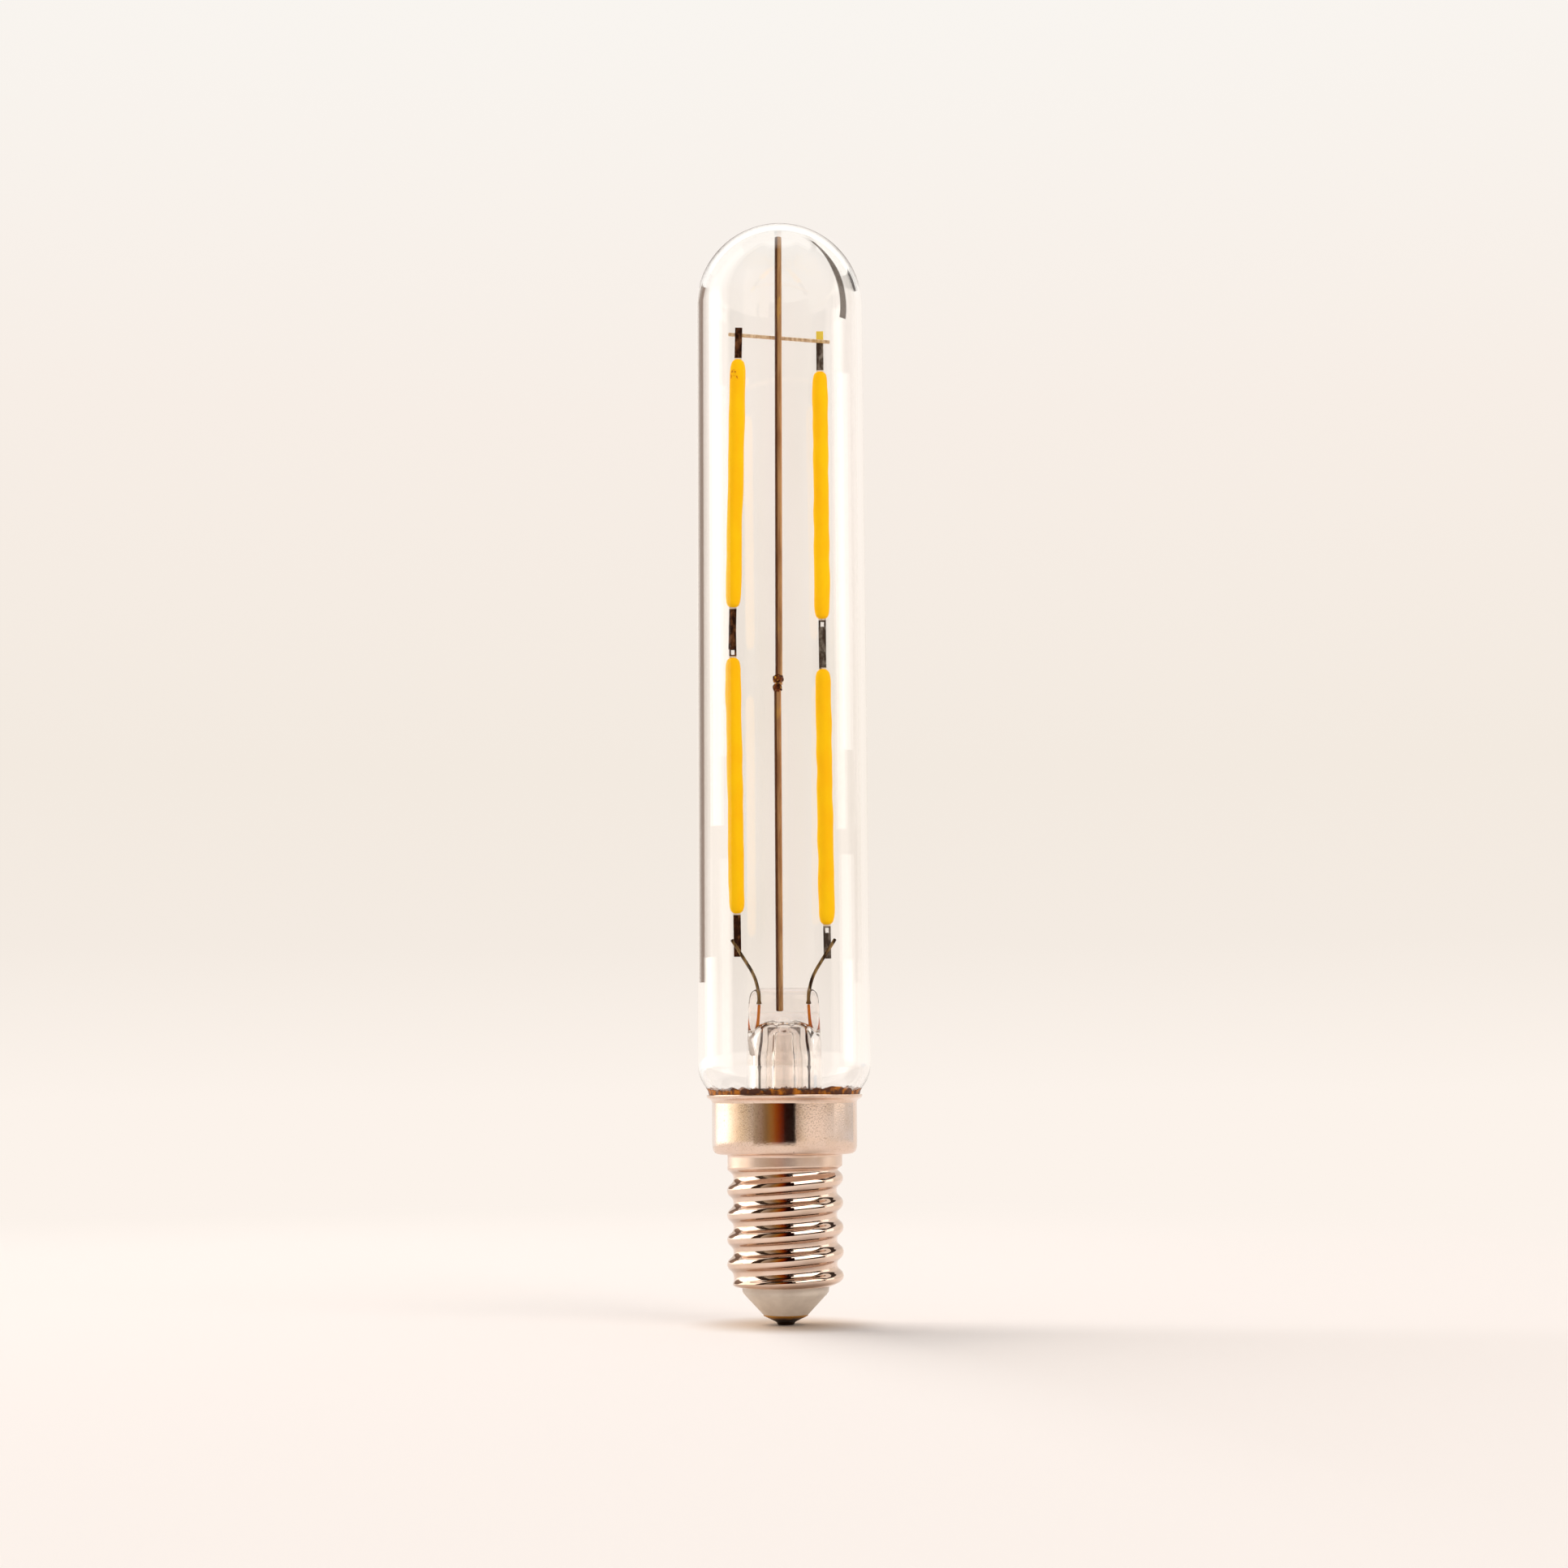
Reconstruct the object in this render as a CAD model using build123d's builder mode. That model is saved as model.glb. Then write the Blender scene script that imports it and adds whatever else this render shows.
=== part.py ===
"""Tubular filament lamp on a small screw cap.

Millimetres, +Z up along the lamp's axis. The origin is the centre of the contact's bottom face,
and -Y is the side that faces the viewer.
"""

import os
from math import radians, tan

from build123d import *

# Screw cap, stacked upwards from the contact's face
CONTACT_HEIGHT = 1.15
CONTACT_DIAMETER = 5.2
BUTTON_DIAMETER = 1.9
BUTTON_HEIGHT = 0.3
RIVET_DIAMETER = 1.6
RIVET_LENGTH = 5.4
CONE_HEIGHT = 2.6
COLLAR_DIAMETER = 10.1
COLLAR_HEIGHT = 0.65
FLANGE_HEIGHT = 1.5
THREAD_LENGTH = 13.8
THREAD_DIAMETER = 13.6
THREAD_DEPTH = 0.77
THREAD_PITCH = 2.822
THREAD_PHASE = 1.1
RIDGE_SHARE = 0.94
CREST_SHARE = 0.16
CREST_BEVEL = 0.2
NECK_HEIGHT = 1.4
NECK_STEP = 0.1
SKIRT_HEIGHT = 6.9
SKIRT_DIAMETER = 17.0
SKIRT_CORNER = 1.3
RIM_FLARE = 0.65
RIM_HEIGHT = 0.35
FLARE_HEIGHT = 0.45
SHELL_WALL = 0.3
CURL_RADIUS = 0.8
FIT_GAP = 0.05

# Glass tube
OVERALL_LENGTH = 132.0
TUBE_DIAMETER = 20.3
TUBE_WALL = 0.8
SHOULDER_ANGLE = 60.0
SEAL_DROP = 0.3
SEAL_WIDTH = 1.3
CEMENT_GAP = 0.3
CEMENT_DEPTH = 4.0
CEMENT_RISE = 0.3

# Glass stem, pressed flat at its top round the wires
STEM_DIAMETER = 8.8
STEM_WALL = 0.9
STEM_RISE = 12.4
PINCH_HEIGHT = 3.3
PINCH_BLEND = 2.6
PINCH_WIDTH = 8.4
PINCH_TOP_WIDTH = 7.2
PINCH_THICKNESS = 3.6
PINCH_FLAT = 3.0
PINCH_BEVEL = 0.7
FLARE_RADIUS = 2.0
EXHAUST_DIAMETER = 4.4
EXHAUST_WALL = 1.1
EXHAUST_TIP_HEIGHT = 18.9
BLOW_HOLE_DIAMETER = 1.6

# Wires, from the filaments down to the driver
POST_DIAMETER = 0.85
POST_OFFSET = -0.5
POST_TOP_OFFSET = -0.1
POST_STEP = 0.16
POST_SINK = 2.6
POST_JOINT_HEIGHT = 75.0
POST_JOINT_GAP = 0.5
BEAD_RADIUS = 0.66
DROP_RADIUS = 0.36
DOME_GAP = 0.1
LEAD_DIAMETER = 0.4
LEAD_SPAN = 5.9
LEAD_SINK = 1.5
LEAD_STRAIGHT = 1.4
LEAD_SPREAD = 3.15
LEAD_CLIMB = 4.35
LEAD_BEND = 2.5
KNOT_DIAMETER = 0.6
SEAL_WIRE_DIAMETER = 0.34
SEAL_WIRE_LENGTH = 7.6
TAIL_DIAMETER = 0.3
CROSSBAR_DIAMETER = 0.45
CROSSBAR_DROP = 13.8
CROSSBAR_FALL = 1.05
CROSSBAR_LEFT = -6.2
CROSSBAR_RIGHT = 6.1
WELD_GAP = 0.02

# Filaments: two strings of two, joined end to end by their tabs
FILAMENT_DIAMETER = 1.9
FILAMENT_TAPER = 1.5
TAB_WIDTH = 0.88
TAB_THICKNESS = 0.2
TAB_EMBED = 0.9
PLUS_TAB = 4.2
MINUS_TAB = 5.3
WINDOW_WIDTH = 0.42
WINDOW_HEIGHT = 0.6
WINDOW_INSET = 0.55
MIDDLE_GAP = 6.5
LEFT_TOP_REACH = 3.4
LEFT_BOTTOM_REACH = 4.25
RIGHT_TOP_REACH = 3.95
RIGHT_BOTTOM_REACH = 3.2
LEFT_TOP_X = -5.0
LEFT_MIDDLE_X = -5.9
LEFT_BOTTOM_X = -5.45
RIGHT_TOP_X = 4.95
RIGHT_MIDDLE_X = 4.94
RIGHT_BOTTOM_X = 5.2

# Driver inside the cap
BOARD_WIDTH = 9.0
BOARD_HEIGHT = 8.6
BOARD_THICKNESS = 0.8
BOARD_LIFT = 1.4
PAD_LENGTH = 2.0
RECTIFIER_SIZE = (4.4, 3.6, 1.5)
REGULATOR_SIZE = (4.6, 2.6, 1.5)
CHIP_SIZE = (3.2, 1.6, 0.6)
CHIP_SPACING = 4.4
SHELL_WIRE_BEND = 0.6

# Heights
cone_top = CONTACT_HEIGHT + CONE_HEIGHT
shell_bottom = cone_top + COLLAR_HEIGHT
seat_height = shell_bottom + SHELL_WALL
thread_top = shell_bottom + THREAD_LENGTH
skirt_bottom = thread_top + NECK_HEIGHT
rim_top = skirt_bottom + SKIRT_HEIGHT
seal_height = rim_top - SEAL_DROP
seal_bottom = seal_height - STEM_WALL
stem_top = rim_top + STEM_RISE
pinch_bottom = stem_top - PINCH_HEIGHT
stem_tube_top = pinch_bottom - PINCH_BLEND
dome_centre = OVERALL_LENGTH - TUBE_DIAMETER / 2
rivet_top = CONTACT_HEIGHT + RIVET_LENGTH
crossbar_height = OVERALL_LENGTH - CROSSBAR_DROP

# Radii
contact_r = CONTACT_DIAMETER / 2
collar_r = COLLAR_DIAMETER / 2
rivet_r = RIVET_DIAMETER / 2
thread_r = THREAD_DIAMETER / 2
root_r = thread_r - THREAD_DEPTH
bore_r = root_r - SHELL_WALL
neck_r = thread_r - NECK_STEP
skirt_r = SKIRT_DIAMETER / 2
skirt_bore_r = skirt_r - SHELL_WALL
rim_r = skirt_r + RIM_FLARE
rim_bore_r = rim_r - SHELL_WALL
tube_r = TUBE_DIAMETER / 2
seal_r = skirt_bore_r - CEMENT_GAP
stem_r = STEM_DIAMETER / 2
stem_bore_r = stem_r - STEM_WALL
exhaust_r = EXHAUST_DIAMETER / 2
exhaust_bore_r = exhaust_r - EXHAUST_WALL
post_r = POST_DIAMETER / 2
lead_r = LEAD_DIAMETER / 2
seal_wire_r = SEAL_WIRE_DIAMETER / 2
tail_r = TAIL_DIAMETER / 2
crossbar_r = CROSSBAR_DIAMETER / 2
lead_x = LEAD_SPAN / 2

# The arc that draws the tube in starts upright and turns through the shoulder angle
shoulder_height = seal_height + (tube_r - seal_r) / tan(radians(SHOULDER_ANGLE) / 2)

os.makedirs("parts", exist_ok=True)


def save(piece, name):
    """Label a finished piece and write it as one STEP file."""
    piece.label = name
    export_step(piece, f"parts/{name}.step")


def wire(radius, points, bends):
    """A round wire along straight runs joined by tangent arcs."""
    with BuildPart() as rod:
        with BuildLine() as route:
            if len(points) > 2:
                FilletPolyline(*points, radius=bends)
            else:
                Line(*points)
        with BuildSketch(Plane(origin=route.line @ 0, z_dir=route.line % 0)):
            Circle(radius)
        sweep(path=route.line)
    return rod.part


def tube_outline(inset, seal_radius):
    """Half outline of the glass tube from its crown to its seal, drawn inset from the outside."""
    side = tube_r - inset
    CenterArc((0, dome_centre), side, 90, -90)
    Line((side, dome_centre), (side, shoulder_height))
    TangentArc((side, shoulder_height), (seal_radius, seal_height), tangent=(0, -1))


# Glass tube: one blown shell, domed at the top and drawn in to the seal
with BuildPart() as glass_tube:
    with BuildSketch(Plane.XZ):
        with BuildLine():
            tube_outline(0, seal_r)
            Line((seal_r, seal_height), (0, seal_height))
            Line((0, seal_height), (0, OVERALL_LENGTH))
        make_face()
        with BuildLine():
            tube_outline(TUBE_WALL, seal_r - SEAL_WIDTH)
            Line((seal_r - SEAL_WIDTH, seal_height), (0, seal_height))
            Line((0, seal_height), (0, OVERALL_LENGTH - TUBE_WALL))
        make_face(mode=Mode.SUBTRACT)
    revolve(axis=Axis.Z)
save(glass_tube.part, "glass_tube")

# Wires that pass through the stem's pinch
inner_leads = {}
seal_wires = {}
tail_wires = {}
knot_height = stem_top - LEAD_SINK
seal_wire_end = knot_height - SEAL_WIRE_LENGTH
bend_height = stem_top + LEAD_STRAIGHT
board_bottom = rivet_top + BOARD_LIFT
board_top = board_bottom + BOARD_HEIGHT
board_front = tail_r + WELD_GAP
for side_name, side in (("left", -1), ("right", 1)):
    foot = (side * lead_x, 0, knot_height)
    bend = (side * lead_x, 0, bend_height)
    tip = (side * (lead_x + LEAD_SPREAD), 0, bend_height + LEAD_CLIMB)
    run = wire(lead_r, (foot, bend, tip), LEAD_BEND)
    with BuildPart() as inner_lead:
        add(run)
        with Locations(foot):
            Cylinder(KNOT_DIAMETER / 2, KNOT_DIAMETER)
    inner_leads[side_name] = inner_lead.part
    save(inner_lead.part, f"{side_name}_inner_lead")

    with BuildPart() as seal_wire:
        with BuildSketch(Plane.XY.offset(seal_wire_end)):
            with Locations((side * lead_x, 0)):
                Circle(seal_wire_r)
        extrude(amount=SEAL_WIRE_LENGTH)
        add(inner_lead.part, mode=Mode.SUBTRACT)
    seal_wires[side_name] = seal_wire.part
    save(seal_wire.part, f"{side_name}_seal_wire")

    with BuildPart() as tail_wire:
        with BuildSketch(Plane.XY.offset(board_top - PAD_LENGTH)):
            with Locations((side * lead_x, 0)):
                Circle(tail_r)
        extrude(amount=seal_wire_end - board_top + PAD_LENGTH)
        with Locations((side * lead_x, 0, seal_wire_end)):
            Cylinder(KNOT_DIAMETER / 2, KNOT_DIAMETER)
        add(seal_wire.part, mode=Mode.SUBTRACT)
    tail_wires[side_name] = tail_wire.part
    save(tail_wire.part, f"{side_name}_tail_wire")

# Support post: two wires butted at a weld, each leaning its own way
joint_low = POST_JOINT_HEIGHT - POST_JOINT_GAP / 2
joint_high = POST_JOINT_HEIGHT + POST_JOINT_GAP / 2
post_foot = (POST_OFFSET, 0, stem_top - POST_SINK)
post_end = (POST_OFFSET, 0, joint_low)
post_start = (POST_OFFSET + POST_STEP, 0, joint_high)
post_crown = (POST_TOP_OFFSET, 0, OVERALL_LENGTH - TUBE_WALL - DOME_GAP)
lower_post = wire(post_r, (post_foot, post_end), 0)
upper_post = wire(post_r, (post_start, post_crown), 0)
save(lower_post, "lower_post")
save(upper_post, "upper_post")

with BuildPart() as post_weld:
    with Locations((POST_OFFSET + POST_STEP / 2, -post_r / 3, joint_high + BEAD_RADIUS)):
        Sphere(BEAD_RADIUS)
    with Locations((POST_OFFSET, -post_r / 3, joint_low)):
        Sphere(DROP_RADIUS + POST_JOINT_GAP / 2)
    add(lower_post, mode=Mode.SUBTRACT)
    add(upper_post, mode=Mode.SUBTRACT)
save(post_weld.part, "post_weld")

# Glass stem: flare, tube and the flat pinch that holds the wires
ceiling = stem_tube_top + PINCH_BLEND / 3
with BuildPart() as glass_stem:
    with BuildSketch(Plane.XZ):
        with BuildLine():
            corner = (stem_r + FLARE_RADIUS, seal_height)
            Line((0, stem_tube_top), (stem_r, stem_tube_top))
            Line((stem_r, stem_tube_top), (stem_r, seal_height + FLARE_RADIUS))
            Spline((stem_r, seal_height + FLARE_RADIUS), corner, tangents=((0, -1), (1, 0)))
            Line(corner, (seal_r, seal_height))
            Line((seal_r, seal_height), (seal_r, seal_bottom))
            Line((seal_r, seal_bottom), (0, seal_bottom))
            Line((0, seal_bottom), (0, stem_tube_top))
        make_face()
    revolve(axis=Axis.Z)
    with BuildSketch(Plane.XY.offset(stem_tube_top)):
        Ellipse(stem_r, stem_r)
    with BuildSketch(Plane.XY.offset(stem_tube_top + PINCH_BLEND / 2)):
        Ellipse((stem_r + PINCH_WIDTH / 2) / 2, (stem_r + PINCH_THICKNESS / 2) / 2)
    with BuildSketch(Plane.XY.offset(pinch_bottom)):
        Ellipse(PINCH_WIDTH / 2, PINCH_THICKNESS / 2)
    with BuildSketch(Plane.XY.offset(stem_top)):
        Ellipse(PINCH_TOP_WIDTH / 2, PINCH_THICKNESS / 2)
    loft()
    chamfer(glass_stem.faces().sort_by(Axis.Z)[-1].edges(), PINCH_BEVEL)
    with BuildSketch(Plane.XZ):
        with BuildLine():
            Polyline(
                (0, ceiling),
                (exhaust_r, ceiling),
                (stem_bore_r, stem_tube_top),
                (stem_bore_r, seal_bottom + FLARE_RADIUS),
                (stem_bore_r + FLARE_RADIUS, seal_bottom),
                (0, seal_bottom),
                close=True,
            )
        make_face()
    revolve(axis=Axis.Z, mode=Mode.SUBTRACT)
    with BuildSketch(Plane.XY.offset(ceiling)):
        Circle(exhaust_bore_r)
    extrude(amount=pinch_bottom - ceiling, mode=Mode.SUBTRACT)
    with BuildSketch(Plane.XZ):
        with Locations((0, pinch_bottom - BLOW_HOLE_DIAMETER / 2)):
            Circle(BLOW_HOLE_DIAMETER / 2)
    extrude(amount=stem_r, mode=Mode.SUBTRACT)
    flat_height = PINCH_HEIGHT * 2 / 3
    with Locations((0, 0, stem_top - flat_height / 2)):
        with Locations((0, stem_r + PINCH_FLAT / 2, 0), (0, -stem_r - PINCH_FLAT / 2, 0)):
            Box(STEM_DIAMETER, STEM_DIAMETER, flat_height, mode=Mode.SUBTRACT)
    for held_wire in (lower_post, *inner_leads.values(), *seal_wires.values()):
        add(held_wire, mode=Mode.SUBTRACT)
save(glass_stem.part, "glass_stem")

# Exhaust tube, melted shut at its tip inside the cap
with BuildPart() as exhaust_tube:
    with BuildSketch(Plane.XZ):
        with BuildLine():
            tip_centre = EXHAUST_TIP_HEIGHT + exhaust_r
            Line((exhaust_bore_r, ceiling), (exhaust_r, ceiling))
            Line((exhaust_r, ceiling), (exhaust_r, tip_centre))
            CenterArc((0, tip_centre), exhaust_r, 0, -90)
            Line((0, EXHAUST_TIP_HEIGHT), (0, tip_centre - exhaust_bore_r))
            CenterArc((0, tip_centre), exhaust_bore_r, -90, 90)
            Line((exhaust_bore_r, tip_centre), (exhaust_bore_r, ceiling))
        make_face()
    revolve(axis=Axis.Z)
save(exhaust_tube.part, "exhaust_tube")

# Crossbar welded behind the post, joining the tops of the two strings
crossbar_y = post_r + crossbar_r + WELD_GAP
crossbar_slope = -CROSSBAR_FALL / (CROSSBAR_RIGHT - CROSSBAR_LEFT)


def crossbar_z(x):
    """Height of the crossbar's axis at x: the bar falls from left to right."""
    return crossbar_height + crossbar_slope * x


crossbar_ends = [(x, crossbar_y, crossbar_z(x)) for x in (CROSSBAR_LEFT, CROSSBAR_RIGHT)]
crossbar = wire(crossbar_r, crossbar_ends, 0)
save(crossbar, "crossbar")

# Weld points of the strings, in front of or behind the wires that carry them
tab_stand_off = TAB_THICKNESS / 2 + WELD_GAP
lead_slope = LEAD_CLIMB / LEAD_SPREAD
tab_half_pair = (TAB_THICKNESS + WELD_GAP) / 2


def lead_z(x):
    """Height of a lead's sloping run at distance x from the axis."""
    return bend_height + (abs(x) - lead_x) * lead_slope


bottom_y = lead_r + tab_stand_off
left_top = Vector(LEFT_TOP_X, crossbar_y - crossbar_r - tab_stand_off, crossbar_z(LEFT_TOP_X))
left_bottom = Vector(LEFT_BOTTOM_X, bottom_y, lead_z(LEFT_BOTTOM_X))
right_top = Vector(RIGHT_TOP_X, crossbar_y + crossbar_r + tab_stand_off, crossbar_z(RIGHT_TOP_X))
right_bottom = Vector(RIGHT_BOTTOM_X, bottom_y, lead_z(RIGHT_BOTTOM_X))
left_drop = left_top.Z - left_bottom.Z
filament_length = (left_drop - LEFT_TOP_REACH - LEFT_BOTTOM_REACH - MIDDLE_GAP) / 2
right_drop = right_top.Z - right_bottom.Z
right_gap = right_drop - RIGHT_TOP_REACH - RIGHT_BOTTOM_REACH - 2 * filament_length


def middle_point(top, reach, gap, x, y):
    """Point between the two filaments of a string, halfway along the gap."""
    return Vector(x, y, top.Z - reach - filament_length - gap / 2)


left_middle = middle_point(left_top, LEFT_TOP_REACH, MIDDLE_GAP, LEFT_MIDDLE_X, bottom_y)
right_middle_y = (right_top.Y + right_bottom.Y) / 2
right_middle = middle_point(right_top, RIGHT_TOP_REACH, right_gap, RIGHT_MIDDLE_X, right_middle_y)
pair_step = Vector(0, tab_half_pair, 0)


def make_tab(frame, end, length, windowed):
    """A stamped tab that leaves one end of a filament: end is 1 at the top and -1 at the bottom."""
    reach = filament_length / 2 - TAB_EMBED
    centre = end * (reach + (length + TAB_EMBED) / 2)
    window = end * (filament_length / 2 + WINDOW_INSET + WINDOW_HEIGHT / 2)
    with BuildPart(frame) as tab:
        with Locations((0, 0, centre)):
            Box(TAB_WIDTH, TAB_THICKNESS, length + TAB_EMBED)
        if windowed:
            with Locations((0, 0, window)):
                Box(WINDOW_WIDTH, 2 * TAB_THICKNESS, WINDOW_HEIGHT, mode=Mode.SUBTRACT)
    return tab.part


def make_filament(name, weld, far_end, reach, plus_end):
    """One coated strip with its two tabs, hung from a weld point towards a far point.

    reach is the length of bare tab between the weld and the coating. plus_end is 1 where the
    marked tab is the upper one, and -1 where it is the lower one.
    """
    along = (far_end - weld).normalized()
    up = along if along.Z > 0 else along * -1
    centre = weld + along * (reach + filament_length / 2)
    frame = Plane(origin=centre, x_dir=(1, 0, 0), z_dir=up)
    half = filament_length / 2
    coat_r = FILAMENT_DIAMETER / 2
    tip_r = TAB_WIDTH / 2 + TAB_THICKNESS / 2
    tabs = {}
    for end, end_name in ((1, "upper"), (-1, "lower")):
        marked = end == plus_end
        tabs[end_name] = make_tab(frame, end, PLUS_TAB if marked else MINUS_TAB, marked)
        save(tabs[end_name], f"{name}_{end_name}_tab")
    with BuildPart() as filament:
        with BuildSketch(Plane(origin=centre, x_dir=frame.x_dir, z_dir=frame.y_dir * -1)):
            with BuildLine():
                shoulder = half - FILAMENT_TAPER
                Line((0, -half), (tip_r, -half))
                TangentArc((coat_r, -shoulder), (tip_r, -half), tangent=(0, -1))
                Line((coat_r, -shoulder), (coat_r, shoulder))
                TangentArc((coat_r, shoulder), (tip_r, half), tangent=(0, 1))
                Line((tip_r, half), (0, half))
                Line((0, half), (0, -half))
            make_face()
        revolve(axis=Axis(centre, up))
        for tab in tabs.values():
            add(tab, mode=Mode.SUBTRACT)
    save(filament.part, name)


make_filament("upper_left_filament", left_top, left_middle - pair_step, LEFT_TOP_REACH, 1)
make_filament("lower_left_filament", left_bottom, left_middle + pair_step, LEFT_BOTTOM_REACH, 1)
make_filament("upper_right_filament", right_top, right_middle - pair_step, RIGHT_TOP_REACH, -1)
make_filament("lower_right_filament", right_bottom, right_middle + pair_step, RIGHT_BOTTOM_REACH, -1)

# Screw shell: drawn sheet with a rolled knuckle thread, a neck, a skirt and a flared rim
lip_r = collar_r + FIT_GAP
flare_bottom = rim_top - RIM_HEIGHT - FLARE_HEIGHT
ridge_half = RIDGE_SHARE * THREAD_PITCH / 2
ridge_lap = SHELL_WALL / 5
ridge_sink = SHELL_WALL / 2
helix_start = shell_bottom + THREAD_PHASE - THREAD_PITCH
helix_height = thread_top + THREAD_PITCH / 2 - helix_start

with BuildPart() as screw_shell:
    with BuildSketch(Plane.XY.offset(helix_start - THREAD_PITCH)):
        Circle(root_r)
    extrude(amount=helix_height + 2 * THREAD_PITCH)
    with BuildLine() as thread_path:
        Helix(THREAD_PITCH, helix_height, root_r, center=(0, 0, helix_start))
    with BuildSketch(Plane(origin=(root_r, 0, helix_start), x_dir=(1, 0, 0), z_dir=(0, 1, 0))):
        with BuildLine():
            crest_half = CREST_SHARE * THREAD_PITCH / 2
            upper_side = (
                (THREAD_DEPTH, crest_half),
                (THREAD_DEPTH - CREST_BEVEL, crest_half + CREST_BEVEL),
                (-ridge_lap, ridge_half),
                (-ridge_sink, ridge_half),
            )
            lower_side = [(depth, -rise) for depth, rise in reversed(upper_side)]
            Polyline(*upper_side, *lower_side, close=True)
        make_face()
    sweep(path=thread_path.line, is_frenet=True)
    with BuildSketch(Plane.XZ):
        with BuildLine():
            clear_r = thread_r + FIT_GAP
            curl_start = (root_r - CURL_RADIUS, shell_bottom)
            curl_end = (clear_r, shell_bottom + 2 * CURL_RADIUS)
            run_out = thread_top + NECK_HEIGHT / 4
            Line((0, shell_bottom), curl_start)
            Spline(curl_start, curl_end, tangents=((1, 0), (0, 1)))
            Polyline(curl_end, (clear_r, thread_top - CURL_RADIUS), (root_r, run_out), (0, run_out))
            Line((0, run_out), (0, shell_bottom))
        make_face()
    revolve(axis=Axis.Z, mode=Mode.INTERSECT)
    with BuildSketch(Plane.XZ):
        with BuildLine():
            FilletPolyline(
                (0, thread_top),
                (neck_r, thread_top),
                (neck_r, skirt_bottom),
                (skirt_r, skirt_bottom),
                (skirt_r, flare_bottom),
                (rim_r, flare_bottom + FLARE_HEIGHT),
                (rim_r, rim_top),
                (0, rim_top),
                radius=(0, 0, SKIRT_CORNER, 0, 0, 0),
            )
            Line((0, rim_top), (0, thread_top))
        make_face()
    revolve(axis=Axis.Z)
    with BuildSketch(Plane.XZ):
        with BuildLine():
            inner_corner = SKIRT_CORNER / 2
            Polyline(
                (0, shell_bottom),
                (lip_r, shell_bottom),
                (lip_r, seat_height),
                (bore_r, seat_height),
                (bore_r, thread_top + SHELL_WALL),
                (neck_r - SHELL_WALL, thread_top + SHELL_WALL),
                (neck_r - SHELL_WALL, skirt_bottom + SHELL_WALL),
                (skirt_bore_r - inner_corner, skirt_bottom + SHELL_WALL),
                (skirt_bore_r, skirt_bottom + SHELL_WALL + inner_corner),
                (skirt_bore_r, flare_bottom),
                (rim_bore_r, flare_bottom + FLARE_HEIGHT),
                (rim_bore_r, rim_top),
                (0, rim_top),
                close=True,
            )
        make_face()
    revolve(axis=Axis.Z, mode=Mode.SUBTRACT)
save(screw_shell.part, "screw_shell")

# Insulator held by the shell's curled lip, and the contact riveted through it
with BuildPart() as insulator:
    with BuildSketch(Plane.XZ):
        with BuildLine():
            rivet_hole_r = rivet_r + FIT_GAP
            flange_r = bore_r - FIT_GAP
            Polyline(
                (rivet_hole_r, CONTACT_HEIGHT),
                (contact_r, CONTACT_HEIGHT),
                (collar_r, cone_top),
                (collar_r, seat_height),
                (flange_r, seat_height),
                (flange_r, seat_height + FLANGE_HEIGHT),
                (rivet_hole_r, seat_height + FLANGE_HEIGHT),
                close=True,
            )
        make_face()
    revolve(axis=Axis.Z)
save(insulator.part, "insulator")

with BuildPart() as centre_contact:
    with BuildSketch(Plane.XZ):
        with BuildLine():
            button_r = BUTTON_DIAMETER / 2
            Polyline(
                (0, 0),
                (button_r, 0),
                (button_r + BUTTON_HEIGHT / 3, BUTTON_HEIGHT),
                (contact_r, CONTACT_HEIGHT - BUTTON_HEIGHT / 3),
                (contact_r, CONTACT_HEIGHT),
                (rivet_r, CONTACT_HEIGHT),
                (rivet_r, rivet_top),
                (0, rivet_top),
                close=True,
            )
        make_face()
    revolve(axis=Axis.Z)
save(centre_contact.part, "centre_contact")

# Cement between the glass and the skirt, proud of the rim
with BuildPart() as cement_ring:
    with BuildSketch(Plane.XZ):
        with BuildLine():
            cement_bottom = rim_top - CEMENT_DEPTH
            cement_top = rim_top + CEMENT_RISE
            inner_r = seal_r - SEAL_WIDTH
            Polyline(
                (skirt_bore_r, cement_bottom),
                (skirt_bore_r, flare_bottom),
                (rim_bore_r, flare_bottom + FLARE_HEIGHT),
                (rim_bore_r, cement_top),
                (inner_r, cement_top),
                (inner_r, cement_bottom),
                close=True,
            )
        make_face()
    revolve(axis=Axis.Z)
    with BuildSketch(Plane.XZ):
        with BuildLine():
            Line((0, seal_bottom), (seal_r, seal_bottom))
            Line((seal_r, seal_bottom), (seal_r, seal_height))
            TangentArc((tube_r, shoulder_height), (seal_r, seal_height), tangent=(0, -1))
            Line((tube_r, shoulder_height), (0, shoulder_height))
            Line((0, shoulder_height), (0, seal_bottom))
        make_face()
    revolve(axis=Axis.Z, mode=Mode.SUBTRACT)
save(cement_ring.part, "cement_ring")

# Driver board, upright in the threaded part, with its parts on both faces
board_back = board_front + BOARD_THICKNESS
board_middle = (board_bottom + board_top) / 2
with BuildPart() as driver_board:
    with Locations((0, board_front + BOARD_THICKNESS / 2, board_middle)):
        Box(BOARD_WIDTH, BOARD_THICKNESS, BOARD_HEIGHT)
    chamfer(driver_board.edges().filter_by(Axis.Y), BOARD_THICKNESS / 2)
save(driver_board.part, "driver_board")


def board_part(name, size, face_y, side, x, z):
    """A moulded part lying on one face of the board: side is -1 on the front and 1 on the back."""
    width, height, depth = size
    with BuildPart() as block:
        with Locations((x, face_y + side * depth / 2, z)):
            Box(width, depth, height)
        outer_face = block.faces().sort_by(Axis.Y)[-1 if side > 0 else 0]
        chamfer(outer_face.edges(), depth / 6)
    save(block.part, name)


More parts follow.
